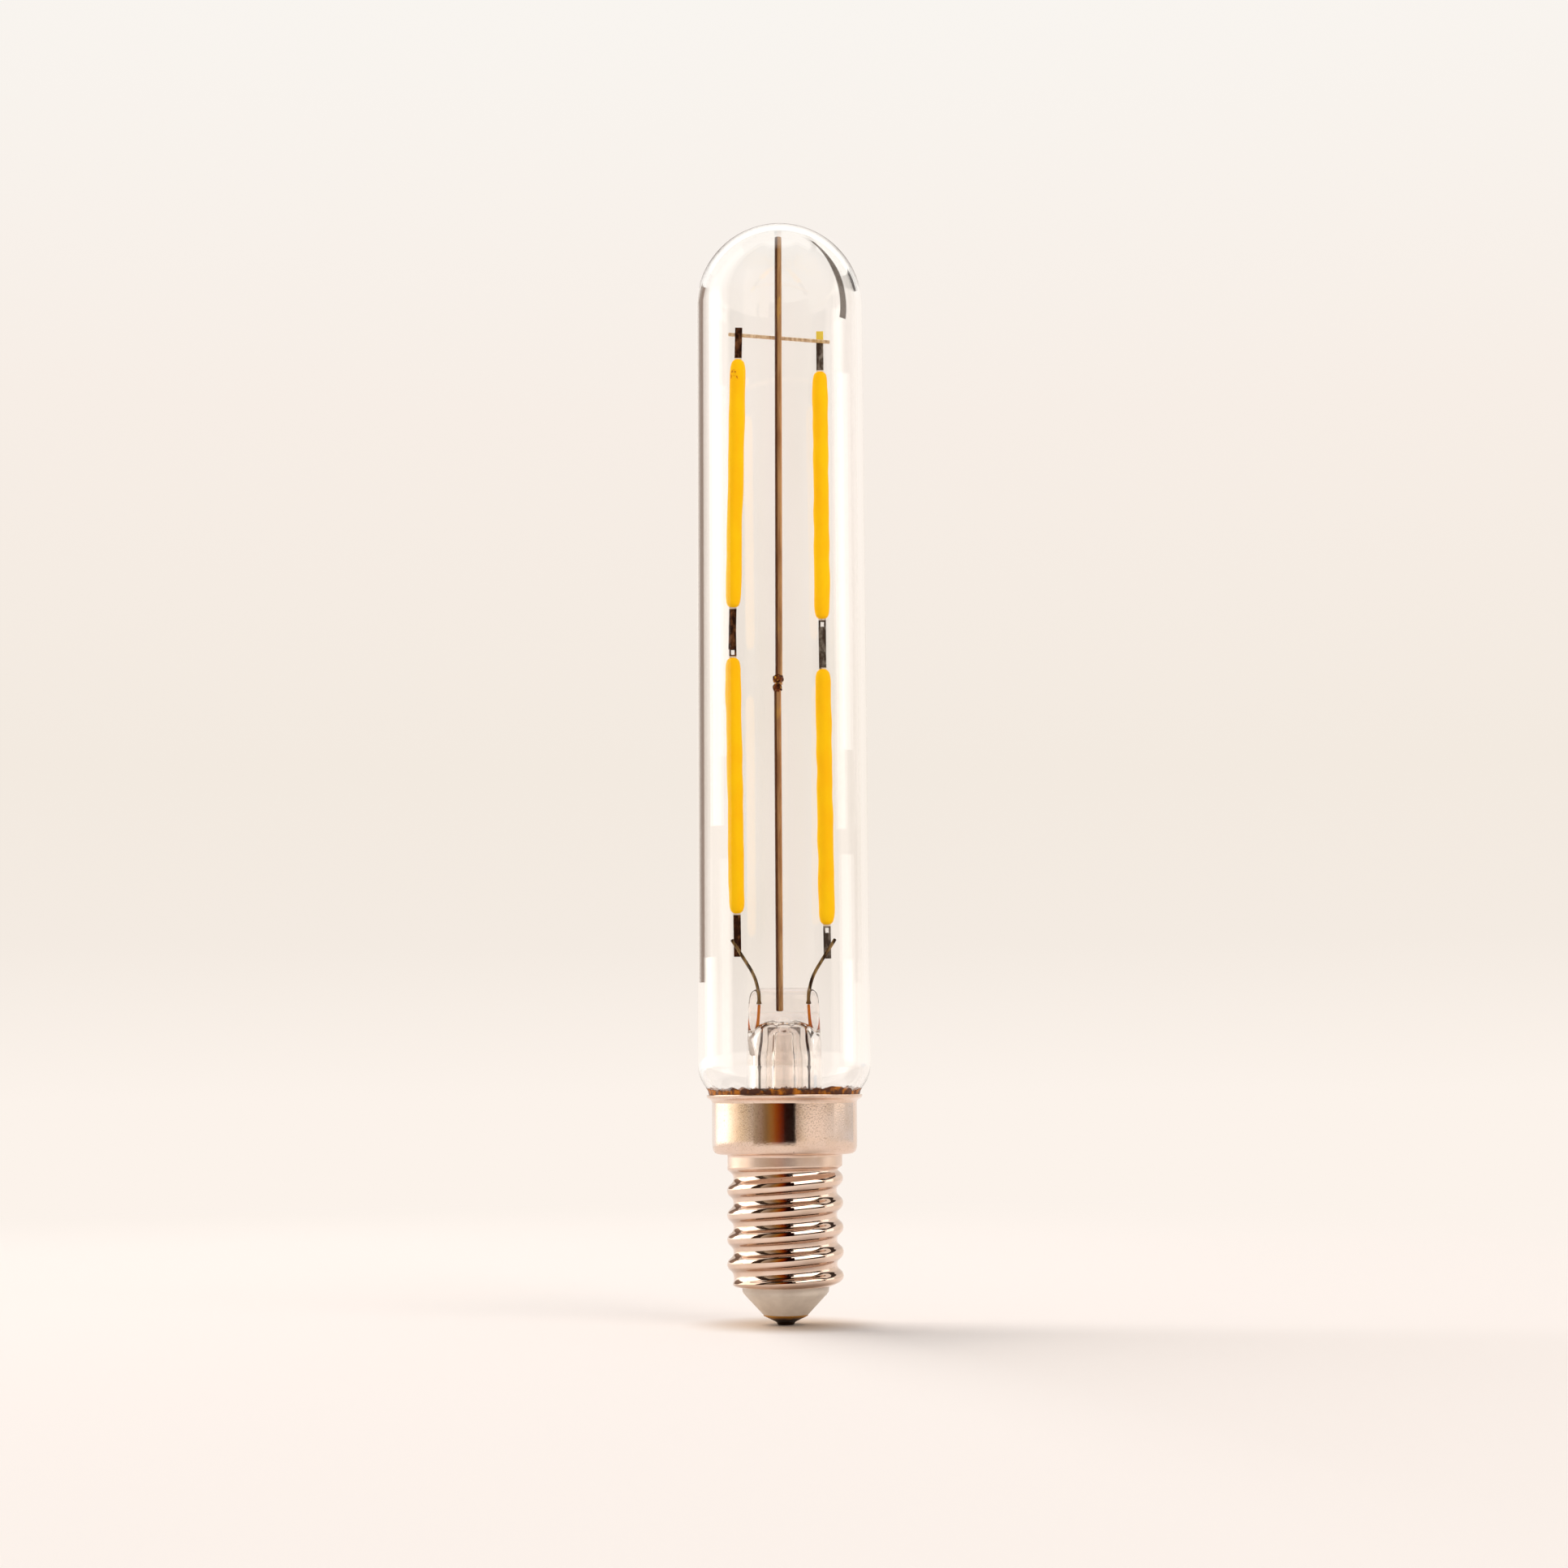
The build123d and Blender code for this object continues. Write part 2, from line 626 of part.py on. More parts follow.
rectifier_z = board_top - RECTIFIER_SIZE[1] / 2 - PAD_LENGTH
regulator_z = board_top - REGULATOR_SIZE[1] / 2 - PAD_LENGTH / 2
chip_z = board_bottom + PAD_LENGTH
board_part("bridge_rectifier", RECTIFIER_SIZE, board_front, -1, 0, rectifier_z)
board_part("current_regulator", REGULATOR_SIZE, board_back, 1, 0, regulator_z)
board_part("sense_resistor", CHIP_SIZE, board_back, 1, -CHIP_SPACING / 2, chip_z)
board_part("fuse_resistor", CHIP_SIZE, board_back, 1, CHIP_SPACING / 2, chip_z)

# Wires from the board to the contact's rivet and to the shell's wall
contact_wire = wire(tail_r, ((0, 0, rivet_top), (0, 0, board_bottom + PAD_LENGTH)), 0)
save(contact_wire, "contact_wire")
shell_wire_y = board_back + tail_r + WELD_GAP
shell_wire_z = board_bottom - BOARD_LIFT / 2
shell_wire_route = (
    (0, shell_wire_y, board_bottom + PAD_LENGTH),
    (0, shell_wire_y, shell_wire_z),
    (0, bore_r - FIT_GAP, shell_wire_z),
)
shell_wire = wire(tail_r, shell_wire_route, SHELL_WIRE_BEND)
save(shell_wire, "shell_wire")
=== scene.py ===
"""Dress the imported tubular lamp: blown glass, wire mount, coated filaments and screw cap.

Metres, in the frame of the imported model: +Z runs up the lamp's axis from the bottom contact and
-Y faces the camera. Sizes are written in millimetres times MM, or read from the frame.
"""

import logging
import math
from collections.abc import Callable, Mapping, Sequence
from dataclasses import dataclass, field
from enum import Enum
from functools import cache
from typing import Any, Union

import bpy
import numpy as np
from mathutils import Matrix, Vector


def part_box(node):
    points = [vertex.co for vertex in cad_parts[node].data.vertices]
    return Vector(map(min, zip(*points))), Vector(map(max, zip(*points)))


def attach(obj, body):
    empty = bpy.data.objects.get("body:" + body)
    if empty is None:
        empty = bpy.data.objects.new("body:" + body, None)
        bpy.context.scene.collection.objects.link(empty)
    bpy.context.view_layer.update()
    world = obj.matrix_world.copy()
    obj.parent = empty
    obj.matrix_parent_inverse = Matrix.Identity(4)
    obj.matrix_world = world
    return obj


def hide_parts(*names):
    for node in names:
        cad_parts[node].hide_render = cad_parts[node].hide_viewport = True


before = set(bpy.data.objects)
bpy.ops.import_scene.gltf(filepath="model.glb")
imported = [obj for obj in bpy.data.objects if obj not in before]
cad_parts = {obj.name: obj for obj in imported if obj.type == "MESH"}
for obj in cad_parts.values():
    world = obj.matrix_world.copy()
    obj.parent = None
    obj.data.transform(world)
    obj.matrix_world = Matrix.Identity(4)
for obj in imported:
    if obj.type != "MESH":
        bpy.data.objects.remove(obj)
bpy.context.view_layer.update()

MM = 0.001
BODY = "root"
TURN = 2 * math.pi
UP = np.array((0.0, 0.0, 1.0))
DEPTH = np.array((0.0, 1.0, 0.0))
LOG = logging.getLogger("lamp")

Colour = tuple[float, float, float, float]
Stops = tuple[tuple[float, Colour], ...]
Number = Union["Value", float]
Index = Union[str, int]


# Mesh kit


@dataclass
class Patch:
    """A closed skin of quads and triangles over an array of points.

    Args:
        points: Vertex places, one row each.
        quads: Vertex numbers of the four-sided faces.
        tris: Vertex numbers of the three-sided faces.
    """

    points: np.ndarray
    quads: np.ndarray
    tris: np.ndarray

    def outward(self) -> "Patch":
        """Turn the faces outwards: the signed volumes under them then add up to more than 0.

        Returns:
            The patch itself, or the same with its faces turned over.
        """
        halves = [self.tris, self.quads[:, [0, 1, 2]], self.quads[:, [0, 2, 3]]]
        a, b, c = np.moveaxis(self.points[np.vstack(halves)], 1, 0)
        if np.einsum("ij,ij->", a, np.cross(b, c)) >= 0:
            return self
        return Patch(self.points, self.quads[:, ::-1], self.tris[:, ::-1])


def skin(grid: np.ndarray, first: np.ndarray | None = None, last: np.ndarray | None = None) -> Patch:
    """Join a grid of points, closed across its columns, into an outward skin.

    Args:
        grid: Points of shape (rows, columns, 3).
        first: Pole that closes the first row, or None where the rows close on themselves.
        last: Pole that closes the last row.

    Returns:
        The closed patch.
    """
    rows, cols = grid.shape[:2]
    number = np.arange(rows * cols).reshape(rows, cols)
    beside = np.roll(number, -1, axis=1)
    below, below_beside = np.roll(number, -1, axis=0), np.roll(beside, -1, axis=0)
    spans = slice(None) if first is None else slice(0, rows - 1)
    quads = np.stack((number, beside, below_beside, below), axis=-1)[spans].reshape(-1, 4)
    points = grid.reshape(-1, 3)
    tris = np.empty((0, 3), dtype=int)
    if first is not None:
        points = np.vstack((points, first, last))
        top = np.stack((np.full(cols, rows * cols), beside[0], number[0]), axis=-1)
        end = np.stack((number[-1], beside[-1], np.full(cols, rows * cols + 1)), axis=-1)
        tris = np.vstack((top, end))
    return Patch(points, quads, tris).outward()


def rounded(corners: Sequence[Sequence[float]], cuts: Sequence[float], steps: int = 6) -> np.ndarray:
    """Round the corners of an open line.

    Each corner C becomes the curve (1-t)^2 A + 2t(1-t) C + t^2 B between the points A and B that
    lie one cut before and after it.

    Args:
        corners: Points of the line, in two or three dimensions.
        cuts: How far each inner corner is cut back along its two runs.
        steps: Points per rounded corner.

    Returns:
        The points of the rounded line.
    """
    places = np.asarray(corners, dtype=float)
    t = np.linspace(0.0, 1.0, steps)[:, None]
    out = [places[:1]]
    for before, corner, after, cut in zip(places, places[1:], places[2:], cuts):
        if cut == 0:
            out.append(corner[None])
            continue
        a = corner + (before - corner) * cut / np.linalg.norm(before - corner)
        b = corner + (after - corner) * cut / np.linalg.norm(after - corner)
        out.append((1 - t) ** 2 * a + 2 * t * (1 - t) * corner + t**2 * b)
    return np.vstack((*out, places[-1:]))


def braced(line: np.ndarray, gap: float) -> np.ndarray:
    """Add a point one gap from each end of every run over four gaps long, so that it is shaded flat.

    Args:
        line: Points of the line.
        gap: Distance of the added points from the ends of their run.

    Returns:
        The line with its added points.
    """
    step = np.diff(line, axis=0)
    length = np.linalg.norm(step, axis=1, keepdims=True)
    inset = step * gap / length
    spots = np.stack((line[:-1], line[:-1] + inset, line[1:] - inset), axis=1)
    kept = np.broadcast_to(length > 4 * gap, (len(step), 3)).copy()
    kept[:, 0] = True
    return np.vstack((spots[kept], line[-1:]))


def resample(line: np.ndarray, count: int) -> np.ndarray:
    """Spread points evenly along a line: each coordinate is interpolated by length run.

    Args:
        line: Points of the line.
        count: Points wanted.

    Returns:
        The evenly spread points.
    """
    run = np.concatenate(([0.0], np.cumsum(np.linalg.norm(np.diff(line, axis=0), axis=1))))
    spots = np.linspace(0.0, run[-1], count)
    return np.stack([np.interp(spots, run, axis) for axis in line.T], axis=-1)


def arc(centre: Sequence[float], radius: float, start: float, end: float, count: int) -> np.ndarray:
    """Draw a circular arc: centre + radius (cos a, sin a), with the angle a in degrees.

    Args:
        centre: Radius and height of the centre.
        radius: Radius of the arc.
        start: First angle.
        end: Last angle.
        count: Points wanted.

    Returns:
        The points of the arc.
    """
    angle = np.radians(np.linspace(start, end, count))
    return np.asarray(centre) + radius * np.stack((np.cos(angle), np.sin(angle)), axis=-1)


def around(count: int) -> np.ndarray:
    """Return evenly spread angles of a full turn."""
    return np.linspace(0.0, TURN, count, endpoint=False)


def smooth(value: np.ndarray, low: float, high: float) -> np.ndarray:
    """Rise smoothly from 0 at low to 1 at high: t^2 (3 - 2t), t being the share of the way."""
    t = np.clip((value - low) / (high - low), 0.0, 1.0)
    return t**2 * (3 - 2 * t)


def poles(first: float, last: float) -> np.ndarray:
    """Return two points on the lamp's axis, by height."""
    return np.array(((0.0, 0.0, first), (0.0, 0.0, last)))


def turn(
    radius: np.ndarray, height: np.ndarray, cols: int, depth: np.ndarray | None = None
) -> np.ndarray:
    """Turn outlines about the lamp's axis: P(s, t) = (r cos t, d sin t, z).

    Args:
        radius: Radius r by row, or by row and column.
        height: Height z by row, or by row and column.
        cols: Points round the axis.
        depth: Half depth d of an oval, or None where the turn is round and d is r.

    Returns:
        A grid of shape (rows, cols, 3).
    """
    angle = around(cols)
    lines = (radius, radius if depth is None else depth, height)
    r, d, z = (np.broadcast_to(a if a.ndim == 2 else a[:, None], (len(a), cols)) for a in lines)
    return np.stack((r * np.cos(angle), d * np.sin(angle), z), axis=-1)


def lathe(outline: np.ndarray, cols: int) -> Patch:
    """Turn an outline of (radius, height) points about the axis.

    An outline that starts and ends on the axis gets a pole at each end, and any other closes on
    itself as a ring.

    Args:
        outline: Points of the outline.
        cols: Points round the axis.

    Returns:
        The closed patch.
    """
    if outline[0, 0] > 0:
        return skin(turn(*outline.T, cols))
    return skin(turn(*outline[1:-1].T, cols), *poles(outline[0, 1], outline[-1, 1]))


def circle(sides: int) -> np.ndarray:
    """Return a unit circle as (sides, 2) points."""
    return np.stack((np.cos(around(sides)), np.sin(around(sides))), axis=-1)


def strip(width: float, thickness: float, corner: float) -> np.ndarray:
    """Draw the outline of a flat strip with rounded corners.

    Args:
        width: Full width.
        thickness: Full thickness.
        corner: Cut of each rounded corner.

    Returns:
        The outline as (points, 2).
    """
    w, t = width / 2, thickness / 2
    loop = ((0, -t), (w, -t), (w, t), (-w, t), (-w, -t), (0, -t))
    return rounded(loop, (corner,) * 4, steps=4)[:-1]


def carry(path: np.ndarray, section: np.ndarray, scale: np.ndarray, blunt: float, depth: float) -> Patch:
    """Carry a section along a path in or near the XZ plane, with domed ends.

    P(u, v) = C(u) + k(u) (a(v) N(u) + b(v) B(u)), where N lies in the XZ plane across the path and
    B is square to both. Past each end the section shrinks as a quarter ellipse of length blunt
    times depth.

    Args:
        path: Points of the centre line.
        section: Outline (a, b) of the section.
        scale: Size k of the section at each point of the path.
        blunt: Length of an end dome as a share of depth.
        depth: Half thickness that the end domes go by.

    Returns:
        The closed patch.
    """
    along = np.gradient(path, axis=0)
    along /= np.linalg.norm(along, axis=1, keepdims=True)
    across = np.cross(np.broadcast_to(DEPTH, along.shape), along)
    across /= np.linalg.norm(across, axis=1, keepdims=True)
    square = np.cross(along, across)
    lean = np.radians(np.array((80.0, 60.0, 40.0, 20.0)))
    reach = blunt * depth
    out, shrink = reach * np.sin(lean)[:, None], np.cos(lean)
    centre = np.vstack((path[:1] - out * along[:1], path, path[-1:] + out[::-1] * along[-1:]))
    size = np.concatenate((shrink * scale[0], scale, shrink[::-1] * scale[-1]))[:, None, None]
    pad = ((len(lean), len(lean)), (0, 0))
    n, b = (np.pad(a, pad, mode="edge")[:, None] for a in (across, square))
    grid = centre[:, None] + size * (section[None, :, :1] * n + section[None, :, 1:] * b)
    return skin(grid, path[0] - reach * along[0], path[-1] + reach * along[-1])


@dataclass(frozen=True)
class Ripple:
    """Smooth unevenness: a few sine waves of random direction and phase, over the root of their number.

    Args:
        length: Typical wave length.
        seed: Seed of the random draws.
        waves: Number of waves.
    """

    length: float
    seed: int
    waves: int = 7

    def at(self, points: np.ndarray) -> np.ndarray:
        """Add up the waves sin(w P + p).

        Args:
            points: Places, one row each or as a grid.

        Returns:
            The unevenness at each point, from about -1 to 1.
        """
        draw = np.random.default_rng(self.seed)
        ways = draw.normal(size=(self.waves, 3)) * TURN / self.length
        phase = draw.uniform(0.0, TURN, self.waves)
        return np.sin(points @ ways.T + phase).sum(axis=-1) / math.sqrt(self.waves)


# Shader kit


def tone(red: int, green: int, blue: int) -> Colour:
    """Turn an 8-bit display colour into the linear one that a shader takes.

    Args:
        red: Red part.
        green: Green part.
        blue: Blue part.

    Returns:
        The linear colour.
    """
    part = [c / 255 for c in (red, green, blue)]
    linear = [c / 12.92 if c <= 0.04045 else ((c + 0.055) / 1.055) ** 2.4 for c in part]
    return (*linear, 1.0)


def stops(*rows: tuple[float, int, int, int]) -> Stops:
    """Return a ramp's stops, each given as a place and an 8-bit display colour."""
    return tuple((place, tone(*colour)) for place, *colour in rows)


def operator(operation: str, swapped: bool = False) -> Callable[["Value", Number], "Value"]:
    """Make a method of Value that adds a Math node.

    Args:
        operation: The node's operation.
        swapped: Whether the other value comes first.

    Returns:
        The method.
    """

    def method(self: "Value", other: Number) -> "Value":
        """Add the node and return its result."""
        pair = (other, self) if swapped else (self, other)
        return self.graph.add("ShaderNodeMath", {"operation": operation}, dict(enumerate(pair)))

    return method


class Value:
    """A node's output that takes part in sums: each operator adds one Math node."""

    def __init__(self, graph: "Graph", socket: bpy.types.NodeSocket) -> None:
        """Keep the graph that new nodes go into and the socket that they read."""
        self.graph = graph
        self.socket = socket

    __add__ = operator("ADD")
    __radd__ = operator("ADD", swapped=True)
    __sub__ = operator("SUBTRACT")
    __rsub__ = operator("SUBTRACT", swapped=True)
    __mul__ = operator("MULTIPLY")
    __rmul__ = operator("MULTIPLY", swapped=True)
    __truediv__ = operator("DIVIDE")
    __pow__ = operator("POWER")
    maximum = operator("MAXIMUM")
    minimum = operator("MINIMUM")

    def step(self, low: float, high: float) -> "Value":
        """Rise smoothly from 0 at low to 1 at high."""
        sockets = {"Value": self, "From Min": low, "From Max": high}
        return self.graph.add("ShaderNodeMapRange", {"interpolation_type": "SMOOTHSTEP"}, sockets)

    def within(self, low: float, high: float, soft: float) -> "Value":
        """Be 1 from low to high, with soft edges inside them."""
        return self.step(low, low + soft) * (1 - self.step(high - soft, high))


def norm(*parts: Value) -> Value:
    """Return the root of the sum of the parts' squares."""
    first, *rest = (part * part for part in parts)
    return sum(rest, first) ** 0.5


class Graph:
    """The nodes of one material or world.

    Args:
        tree: Node tree to fill, emptied first.
    """

    def __init__(self, tree: bpy.types.NodeTree) -> None:
        """Empty the tree."""
        self.tree = tree
        tree.nodes.clear()

    def node(self, kind: str, settings: Mapping[str, Any], sockets: Mapping[Index, Any]) -> bpy.types.Node:
        """Add any node.

        Args:
            kind: Type of the node.
            settings: Its settings, set first. "stops" gives a ramp's places and colours.
            sockets: Values of its inputs, or what is linked to them.

        Returns:
            The node.
        """
        node = self.tree.nodes.new(kind)
        for key, setting in settings.items():
            if key != "stops":
                setattr(node, key, setting)
                continue
            elements = node.color_ramp.elements
            for _ in setting[2:]:
                elements.new(0.5)
            for element, (place, colour) in zip(elements, setting):
                element.position = place
                element.color = colour
        for key, value in sockets.items():
            if isinstance(value, Value):
                self.tree.links.new(value.socket, node.inputs[key])
            else:
                node.inputs[key].default_value = value
        return node

    def add(
        self, kind: str, settings: Mapping[str, Any], sockets: Mapping[Index, Any], out: Index = 0
    ) -> Value:
        """Add any node and return one of its outputs."""
        return Value(self, self.node(kind, settings, sockets).outputs[out])

    def outputs(self, kind: str, *names: Index) -> list[Value]:
        """Add a node that has no settings and return some of its outputs."""
        node = self.node(kind, {}, {})
        return [Value(self, node.outputs[name]) for name in names]

    def place(self) -> Value:
        """Return the piece's own coordinates."""
        return self.add("ShaderNodeTexCoord", {}, {}, "Object")

    def axes(self) -> list[Value]:
        """Return the three object coordinates."""
        node = self.node("ShaderNodeSeparateXYZ", {}, {0: self.place()})
        return [Value(self, socket) for socket in node.outputs]

    def grain(self, size: float, detail: float = 3.0, squash: Sequence[float] = (1, 1, 1)) -> Value:
        """Make a cloudy noise from 0 to 1.

        Args:
            size: Size of the clouds.
            detail: Octaves of finer noise.
            squash: How many times finer the clouds are along each axis.

        Returns:
            The noise.
        """
        place = self.add("ShaderNodeVectorMath", {"operation": "MULTIPLY"}, {0: self.place(), 1: squash})
        sockets = {"Vector": place, "Scale": 1 / size, "Detail": detail, "Roughness": 0.55}
        return self.add("ShaderNodeTexNoise", {}, sockets)

    def specks(self, spacing: float, low: float, high: float) -> Value:
        """Return round specks: 1 within low of a scattered point, 0 past high, in parts of spacing."""
        sockets = {"Vector": self.place(), "Scale": 1 / spacing}
        return 1 - self.add("ShaderNodeTexVoronoi", {"feature": "F1"}, sockets, "Distance").step(low, high)

    def mix(self, share: Number, base: Any, top: Any) -> Value:
        """Mix two colours: base where share is 0 and top where it is 1."""
        return self.add("ShaderNodeMix", {"data_type": "RGBA"}, {0: share, 6: base, 7: top}, 2)

    def ramp(self, value: Value, colours: Stops) -> Value:
        """Look a value up in a ramp of colours."""
        return self.add("ShaderNodeValToRGB", {"stops": colours}, {0: value})

    def bump(self, height: Value, distance: float, strength: float) -> Value:
        """Turn a height from 0 to 1, of a real depth of distance, into a bumped normal."""
        sockets = {"Strength": strength, "Distance": distance, "Height": height}
        return self.add("ShaderNodeBump", {}, sockets)

    def surface(self, sockets: Mapping[Index, Any]) -> Value:
        """Add a Principled shader."""
        return self.add("ShaderNodeBsdfPrincipled", {}, sockets)

    def blend(self, share: Number, base: Value, top: Value) -> Value:
        """Mix two shaders."""
        return self.add("ShaderNodeMixShader", {}, {0: share, 1: base, 2: top})

    def close(self, shader: Value, kind: str = "ShaderNodeOutputMaterial") -> None:
        """Send the shader to the output."""
        self.node(kind, {}, {"Surface": shader})


class Finish:
    """What a piece is made of. Each kind fills in the nodes of its own shader."""

    name: str

    def shader(self, graph: Graph) -> Value:
        """Add the finish's nodes to a graph and return its shader."""
        raise NotImplementedError


@cache
def material(finish: Finish) -> bpy.types.Material:
    """Make the material of a finish, once.

    Args:
        finish: The finish.

    Returns:
        Its material.
    """
    made = bpy.data.materials.new(finish.name)
    made.use_nodes = True
    graph = Graph(made.node_tree)
    graph.close(finish.shader(graph))
    return made


# Finishes


@dataclass(frozen=True)
class ClearGlass(Finish):
    """Clear blown or pressed glass, faintly smeared, that lets lamp light through."""

    name: str
    tint: Colour
    smeared: Colour
    smear: float
    index: float = 1.5
    shade: Colour = tone(247, 244, 240)

    def body(self, graph: Graph, cloud: Value) -> Value:
        """Cloud the clear tone faintly."""
        return graph.mix(cloud, self.tint, self.smeared)

    def shader(self, graph: Graph) -> Value:
        """Mix glass with a clear shader that only shadow rays meet.

        Args:
            graph: Nodes of the material.

        Returns:
            The shader.
        """
        cloud = graph.grain(9 * MM, 2.0, (1, 1, 0.4)).step(0.45, 0.75)
        glass = graph.surface(
            {
                "Base Color": self.body(graph, cloud),
                "Roughness": cloud * self.smear,
                "IOR": self.index,
                "Transmission Weight": 1.0,
            }
        )
        clear = graph.add("ShaderNodeBsdfTransparent", {}, {"Color": self.shade})
        shadow = graph.add("ShaderNodeLightPath", {}, {}, "Is Shadow Ray")
        return graph.blend(shadow, glass, clear)


@dataclass(frozen=True)
class CrownGlass(ClearGlass):
    """The tube's glass, with a painted reflection on the front of its crown: a dark arc in the glass's
    colour.

    Args:
        painted_reflection: Tone of the painted dark arc, a reflection painted on the glass.
        centre: Centre of the streak's arc in the front view, as (x, z).
        sweep: Radius of the arc.
        half_width: Half the streak's width at its foot.
        low: Height of its foot.
        taper: Height from which it thins.
        high: Height of its tip.
        shoulder: Height at which the crown begins.
        skin: Distance from the axis, or from the crown's centre, beyond which only the outside lies.
    """

    name: str = "crown_glass"
    tint: Colour = tone(254, 253, 252)
    smeared: Colour = tone(251, 250, 248)
    smear: float = 0.0
    painted_reflection: Colour = tone(58, 50, 44)
    centre: tuple[float, float] = (-2.51 * MM, 119.9 * MM)
    sweep: float = 10.16 * MM
    half_width: float = 0.47 * MM
    low: float = 118.3 * MM
    taper: float = 123.5 * MM
    high: float = 128.0 * MM
    shoulder: float = 121.85 * MM
    skin: float = 9.8 * MM

    def body(self, graph: Graph, cloud: Value) -> Value:
        """Paint a dark reflection on the outside along an arc that is thinner towards its tip.

        Args:
            graph: Nodes of the material.
            cloud: Share of smear.

        Returns:
            The colour.
        """
        x, y, z = graph.axes()
        off = norm(x - self.centre[0], z - self.centre[1]) - self.sweep
        width = self.half_width * (1 - z.step(self.taper, self.high) * 0.7)
        line = 1 - (off.maximum(0 - off) / width).step(0.65, 1.0)
        out = norm(x, y, (z - self.shoulder).maximum(0.0))
        outside = out.step(self.skin, self.skin + 0.1 * MM)
        front = x.step(0.0, 1 * MM) * (1 - y.step(-1 * MM, 0.0))
        run = z.step(self.low, self.low + 0.12 * MM) * (1 - z.step(self.high - 0.4 * MM, self.high))
        # Painted reflection: the arc darkens the crown's outside where a dark reflection would show.
        return graph.mix(line * outside * front * run, super().body(graph, cloud), self.painted_reflection)


@dataclass(frozen=True)
class NickelPlate(Finish):
    """Nickel plate: satin on the skirt and the neck and in the thread's roots, polished on its flanks,
    with painted shade on the flanks.
    """

    name: str = "nickel_plate"
    pale: Colour = tone(233, 209, 193)
    warm: Colour = tone(226, 199, 178)
    stain: Colour = tone(120, 84, 56)
    grime_and_flank_shade: Colour = tone(138, 100, 72)
    skirt_from: float = 20.2 * MM
    neck_from: float = 17.9 * MM
    change: float = 0.3 * MM
    root: float = 6.05 * MM
    crest: float = 6.75 * MM
    edge: float = 0.25 * MM
    polish: float = 0.05
    worn: float = 0.14
    satin: float = 0.09
    matt: float = 0.3

    def shader(self, graph: Graph) -> Value:
        """Grade the roughness by height and by distance from the axis, speckle the plate, and paint shade
        on the thread's flanks.

        Args:
            graph: Nodes of the material.

        Returns:
            The shader.
        """
        x, y, height = graph.axes()
        out = norm(x, y)
        root = 1 - out.step(self.root, self.root + 0.08 * MM)
        neck = height.step(self.neck_from - self.change, self.neck_from)
        skirt = height.step(self.skirt_from - self.change, self.skirt_from)
        cloud = graph.grain(3 * MM, 4.0)
        fine = graph.grain(0.2 * MM)
        dots = graph.specks(2.3 * MM, 0.02, 0.05)
        flank = out.within(self.root, self.crest, self.edge)
        plate = graph.mix(cloud.step(0.35, 0.7), self.pale, self.warm)
        # Painted shade: the thread's flanks are darkened, standing in for shade and dark reflections; the
        # same dark tone gives the skirt its fine grain.
        plate = graph.mix(flank * (1 - neck) * 0.4, plate, self.grime_and_flank_shade)
        plate = graph.mix(fine.step(0.5, 0.75) * skirt * 0.3, plate, self.grime_and_flank_shade)
        thread = self.polish + root * (self.worn - self.polish)
        rough = thread + neck * (self.matt - thread) + skirt * (self.satin - self.matt)
        return graph.surface(
            {
                "Base Color": graph.mix(dots * 0.7, plate, self.stain),
                "Metallic": 1.0,
                "Roughness": rough + (fine - 0.5) * neck * 0.06,
                "Normal": graph.bump(fine * neck, 0.006 * MM, 0.7),
            }
        )


@dataclass(frozen=True)
class DrawnWire(Finish):
    """Drawn wire, streaked along its length by heat and handling."""

    name: str
    pale: Colour
    dark: Colour
    glint: Colour
    metal: float = 0.8
    rough: float = 0.36

    def body(self, graph: Graph, colour: Value) -> Value:
        """Leave the wire's colour as it is."""
        return colour

    def shader(self, graph: Graph) -> Value:
        """Streak two tones along the wire and dot it with a third.

        Args:
            graph: Nodes of the material.

        Returns:
            The shader.
        """
        streak = graph.grain(0.5 * MM, squash=(1, 1, 0.08))
        patch = graph.grain(1.6 * MM, squash=(1, 1, 0.35))
        colour = graph.mix(streak.step(0.38, 0.62), self.dark, self.pale)
        colour = graph.mix(patch.step(0.6, 0.72) * 0.6, colour, self.glint)
        return graph.surface(
            {
                "Base Color": self.body(graph, colour),
                "Metallic": self.metal,
                "Roughness": self.rough + (patch - 0.5) * 0.25,
                "Normal": graph.bump(streak, 0.02 * MM, 0.4),
            }
        )


@dataclass(frozen=True)
class PostWire(DrawnWire):
    """Post wire with a dark line of painted shade and reflection down its left side.

    Args:
        foot: The post's axis at its foot, as (x, z).
        lean: How far the axis moves to the right per unit of height.
        side_shade: Tone of the painted shade line.
        line: The line's edges, measured to the right from the axis.
        soft: How far each edge fades to either side.
    """

    pale: Colour = tone(206, 162, 112)
    dark: Colour = tone(172, 126, 84)
    glint: Colour = tone(232, 182, 88)
    metal: float = 0.5
    rough: float = 0.34
    foot: tuple[float, float] = (0.0, 0.0)
    lean: float = 0.0
    side_shade: Colour = tone(58, 26, 20)
    line: tuple[float, float] = (-0.5 * MM, -0.12 * MM)
    soft: float = 0.08 * MM

    def body(self, graph: Graph, colour: Value) -> Value:
        """Paint shade on the wire between the line's two soft edges.

        Args:
            graph: Nodes of the material.
            colour: The wire's colour.

        Returns:
            The colour with its line.
        """
        x, _, z = graph.axes()
        off = x - self.foot[0] - (z - self.foot[1]) * self.lean
        left, right = (off.step(edge - self.soft, edge + self.soft) for edge in self.line)
        # Painted shade: a dark line down the left side stands in for shade and a dark reflection.
        return graph.mix(left * (1 - right) * 0.9, colour, self.side_shade)


